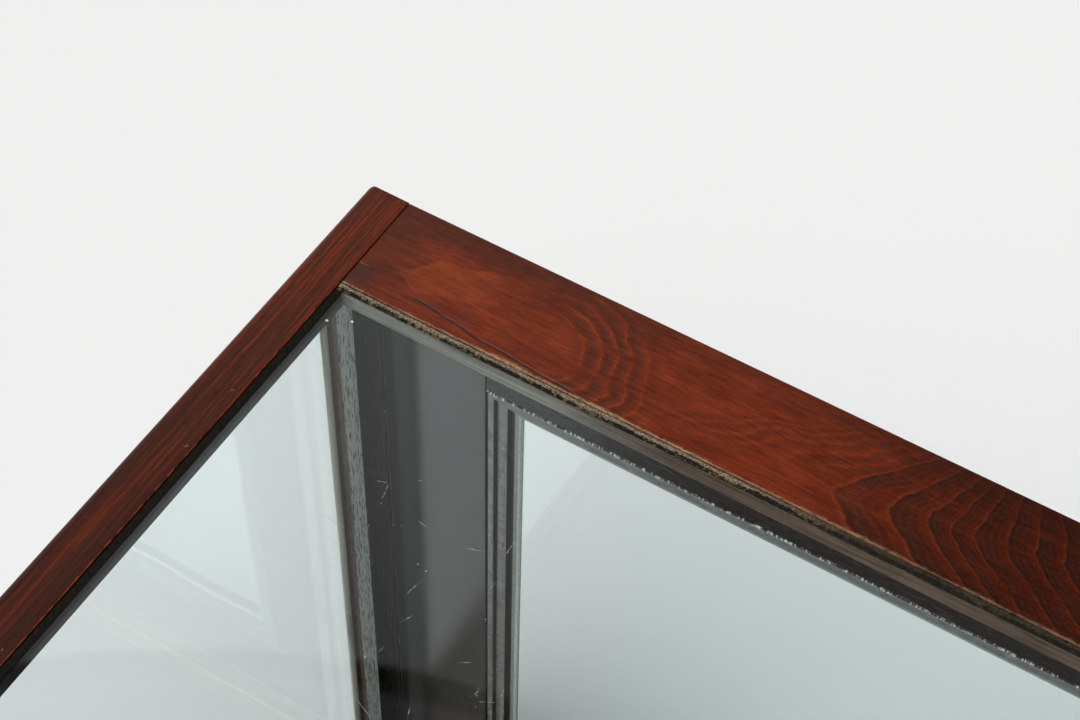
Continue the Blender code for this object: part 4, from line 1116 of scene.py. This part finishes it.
class CABINET_OT_brass(bpy.types.Operator):
    """Works the brass: runners, rollers, axles, finger pulls and the push lock"""

    bl_idname = "cabinet.brass"
    bl_label = "Brass fittings"

    def execute(self, context):
        for node in [node for node, slot in SLOT_OF.items() if slot == "brass"]:
            piece = copy_of(node)
            soften(piece, sizes().brass_edge, 50.0)
            settle(piece, [node], "brass")
        return {"FINISHED"}


class CABINET_OT_stage(bpy.types.Operator):
    """Sets the pale floor, the soft lamps and the camera"""

    bl_idname = "cabinet.stage"
    bl_label = "Stage"

    def execute(self, context):
        self.lay_floor()
        self.light_world()
        for name, values in LAMPS.items():
            self.add_lamp(name, *values)
        self.set_camera()
        context.scene.view_settings.view_transform = "Standard"
        return {"FINISHED"}

    def lay_floor(self):
        deselect_all()
        bpy.ops.mesh.primitive_plane_add(size=FLOOR_SIZE, location=(0.0, 0.0, BASE - FLOOR_BELOW))
        floor = latest("paper_floor")
        bpy.ops.object.transform_apply(location=True, rotation=True, scale=True)
        finish = new_finish("paper")
        x, y, z = finish.place()
        cloud = finish.noise(x * 3.0, y * 3.0, z, detail=3.0)
        colour = finish.mix(cloud, tint("floor", 0.985), tint("floor"))
        paper = finish.output(finish.surface(Base_Color=colour, Roughness=0.9, Specular_IOR_Level=0.1))
        floor.data.materials.append(paper)

    def light_world(self):
        """A pale room: bright walls, and a dimmer ceiling beyond a dark line."""
        world = bpy.data.worlds.new("pale_room")
        bpy.context.scene.world = world
        finish = Finish(world)
        x, z = finish.place("Generated", "XZ")
        height = z - x * WALL_LEAN
        wall = height.fade(*WALL_END)
        ceiling = height.smooth(*CEILING_START)
        dimmer = 1.0 - x.smooth(*DIM_SIDE) * DIM_SHARE
        strength = wall * dimmer * WALL_LIGHT + ceiling * CEILING_LIGHT
        room = finish.node("ShaderNodeBackground", inputs={"Color": (0.98, 1.0, 1.0, 1.0), "Strength": strength})
        paper = finish.node("ShaderNodeBackground", inputs={"Color": (*tint("floor"), 1.0), "Strength": PAPER_LIGHT})
        camera = finish.node("ShaderNodeLightPath", output="Is Camera Ray")
        through = finish.node("ShaderNodeLightPath", output="Is Transmission Ray") * z.fade(0.2, 0.4)
        shown = finish.node("ShaderNodeMixShader", inputs={0: camera.most(through), 1: room, 2: paper})
        finish.output(shown, "ShaderNodeOutputWorld")

    def add_lamp(self, name, place, spread, strength):
        """A broad, distant lamp, aimed at the middle of the cabinet. Spread is its breadth in degrees."""
        deselect_all()
        turn = (Vector(place) - LAMP_TARGET).to_track_quat("Z", "Y").to_euler()
        bpy.ops.object.light_add(type="SUN", location=place, rotation=turn)
        lamp = latest(name)
        lamp.data.angle = math.radians(spread)
        lamp.data.energy = strength

    def set_camera(self):
        """The photograph's viewpoint, measured from the back left corner of the top."""
        corner = Vector((LEFT_EDGE, BACK_EDGE, TOP))
        level = math.cos(CAMERA_ELEVATION)
        back = Vector((math.sin(CAMERA_AZIMUTH) * level, -math.cos(CAMERA_AZIMUTH) * level,
                       math.sin(CAMERA_ELEVATION)))
        right = Vector((math.cos(CAMERA_AZIMUTH), math.sin(CAMERA_AZIMUTH), 0.0))
        up = back.cross(right)
        turn = Matrix((right, up, back)).transposed() @ Matrix.Rotation(CAMERA_ROLL, 3, "Z")
        bpy.ops.object.camera_add(location=corner + CAMERA_FROM_CORNER, rotation=turn.to_euler())
        camera = latest("photograph_camera")
        camera.data.sensor_width = SENSOR_WIDTH
        camera.data.lens = FOCAL_PIXELS * SENSOR_WIDTH / IMAGE_WIDTH
        camera.data.clip_start = 0.01
        bpy.context.scene.camera = camera


OPERATORS = (CABINET_OT_stage, CABINET_OT_top_frame, CABINET_OT_top_glass, CABINET_OT_carcass, CABINET_OT_inner_wood,
             CABINET_OT_glazing, CABINET_OT_doors, CABINET_OT_brass)


class CABINET_PT_pieces(bpy.types.Panel):
    bl_idname = "CABINET_PT_pieces"
    bl_label = "Display cabinet"
    bl_space_type = "VIEW_3D"
    bl_region_type = "UI"
    bl_category = "Cabinet"

    def draw(self, context):
        for operator in OPERATORS:
            self.layout.operator(operator.bl_idname)


CLASSES = (CabinetSizes, CabinetColours, *OPERATORS, CABINET_PT_pieces)


def register():
    for made in CLASSES:
        bpy.utils.register_class(made)
    bpy.types.Scene.cabinet_sizes = bpy.props.PointerProperty(type=CabinetSizes)
    bpy.types.Scene.cabinet_colours = bpy.props.PointerProperty(type=CabinetColours)


def unregister():
    del bpy.types.Scene.cabinet_colours
    del bpy.types.Scene.cabinet_sizes
    for made in reversed(CLASSES):
        bpy.utils.unregister_class(made)


def main():
    register()
    bpy.ops.cabinet.stage()
    bpy.ops.cabinet.top_frame()
    bpy.ops.cabinet.top_glass()
    bpy.ops.cabinet.carcass()
    bpy.ops.cabinet.inner_wood()
    bpy.ops.cabinet.glazing()
    bpy.ops.cabinet.doors()
    bpy.ops.cabinet.brass()


if __name__ == "__main__":
    main()
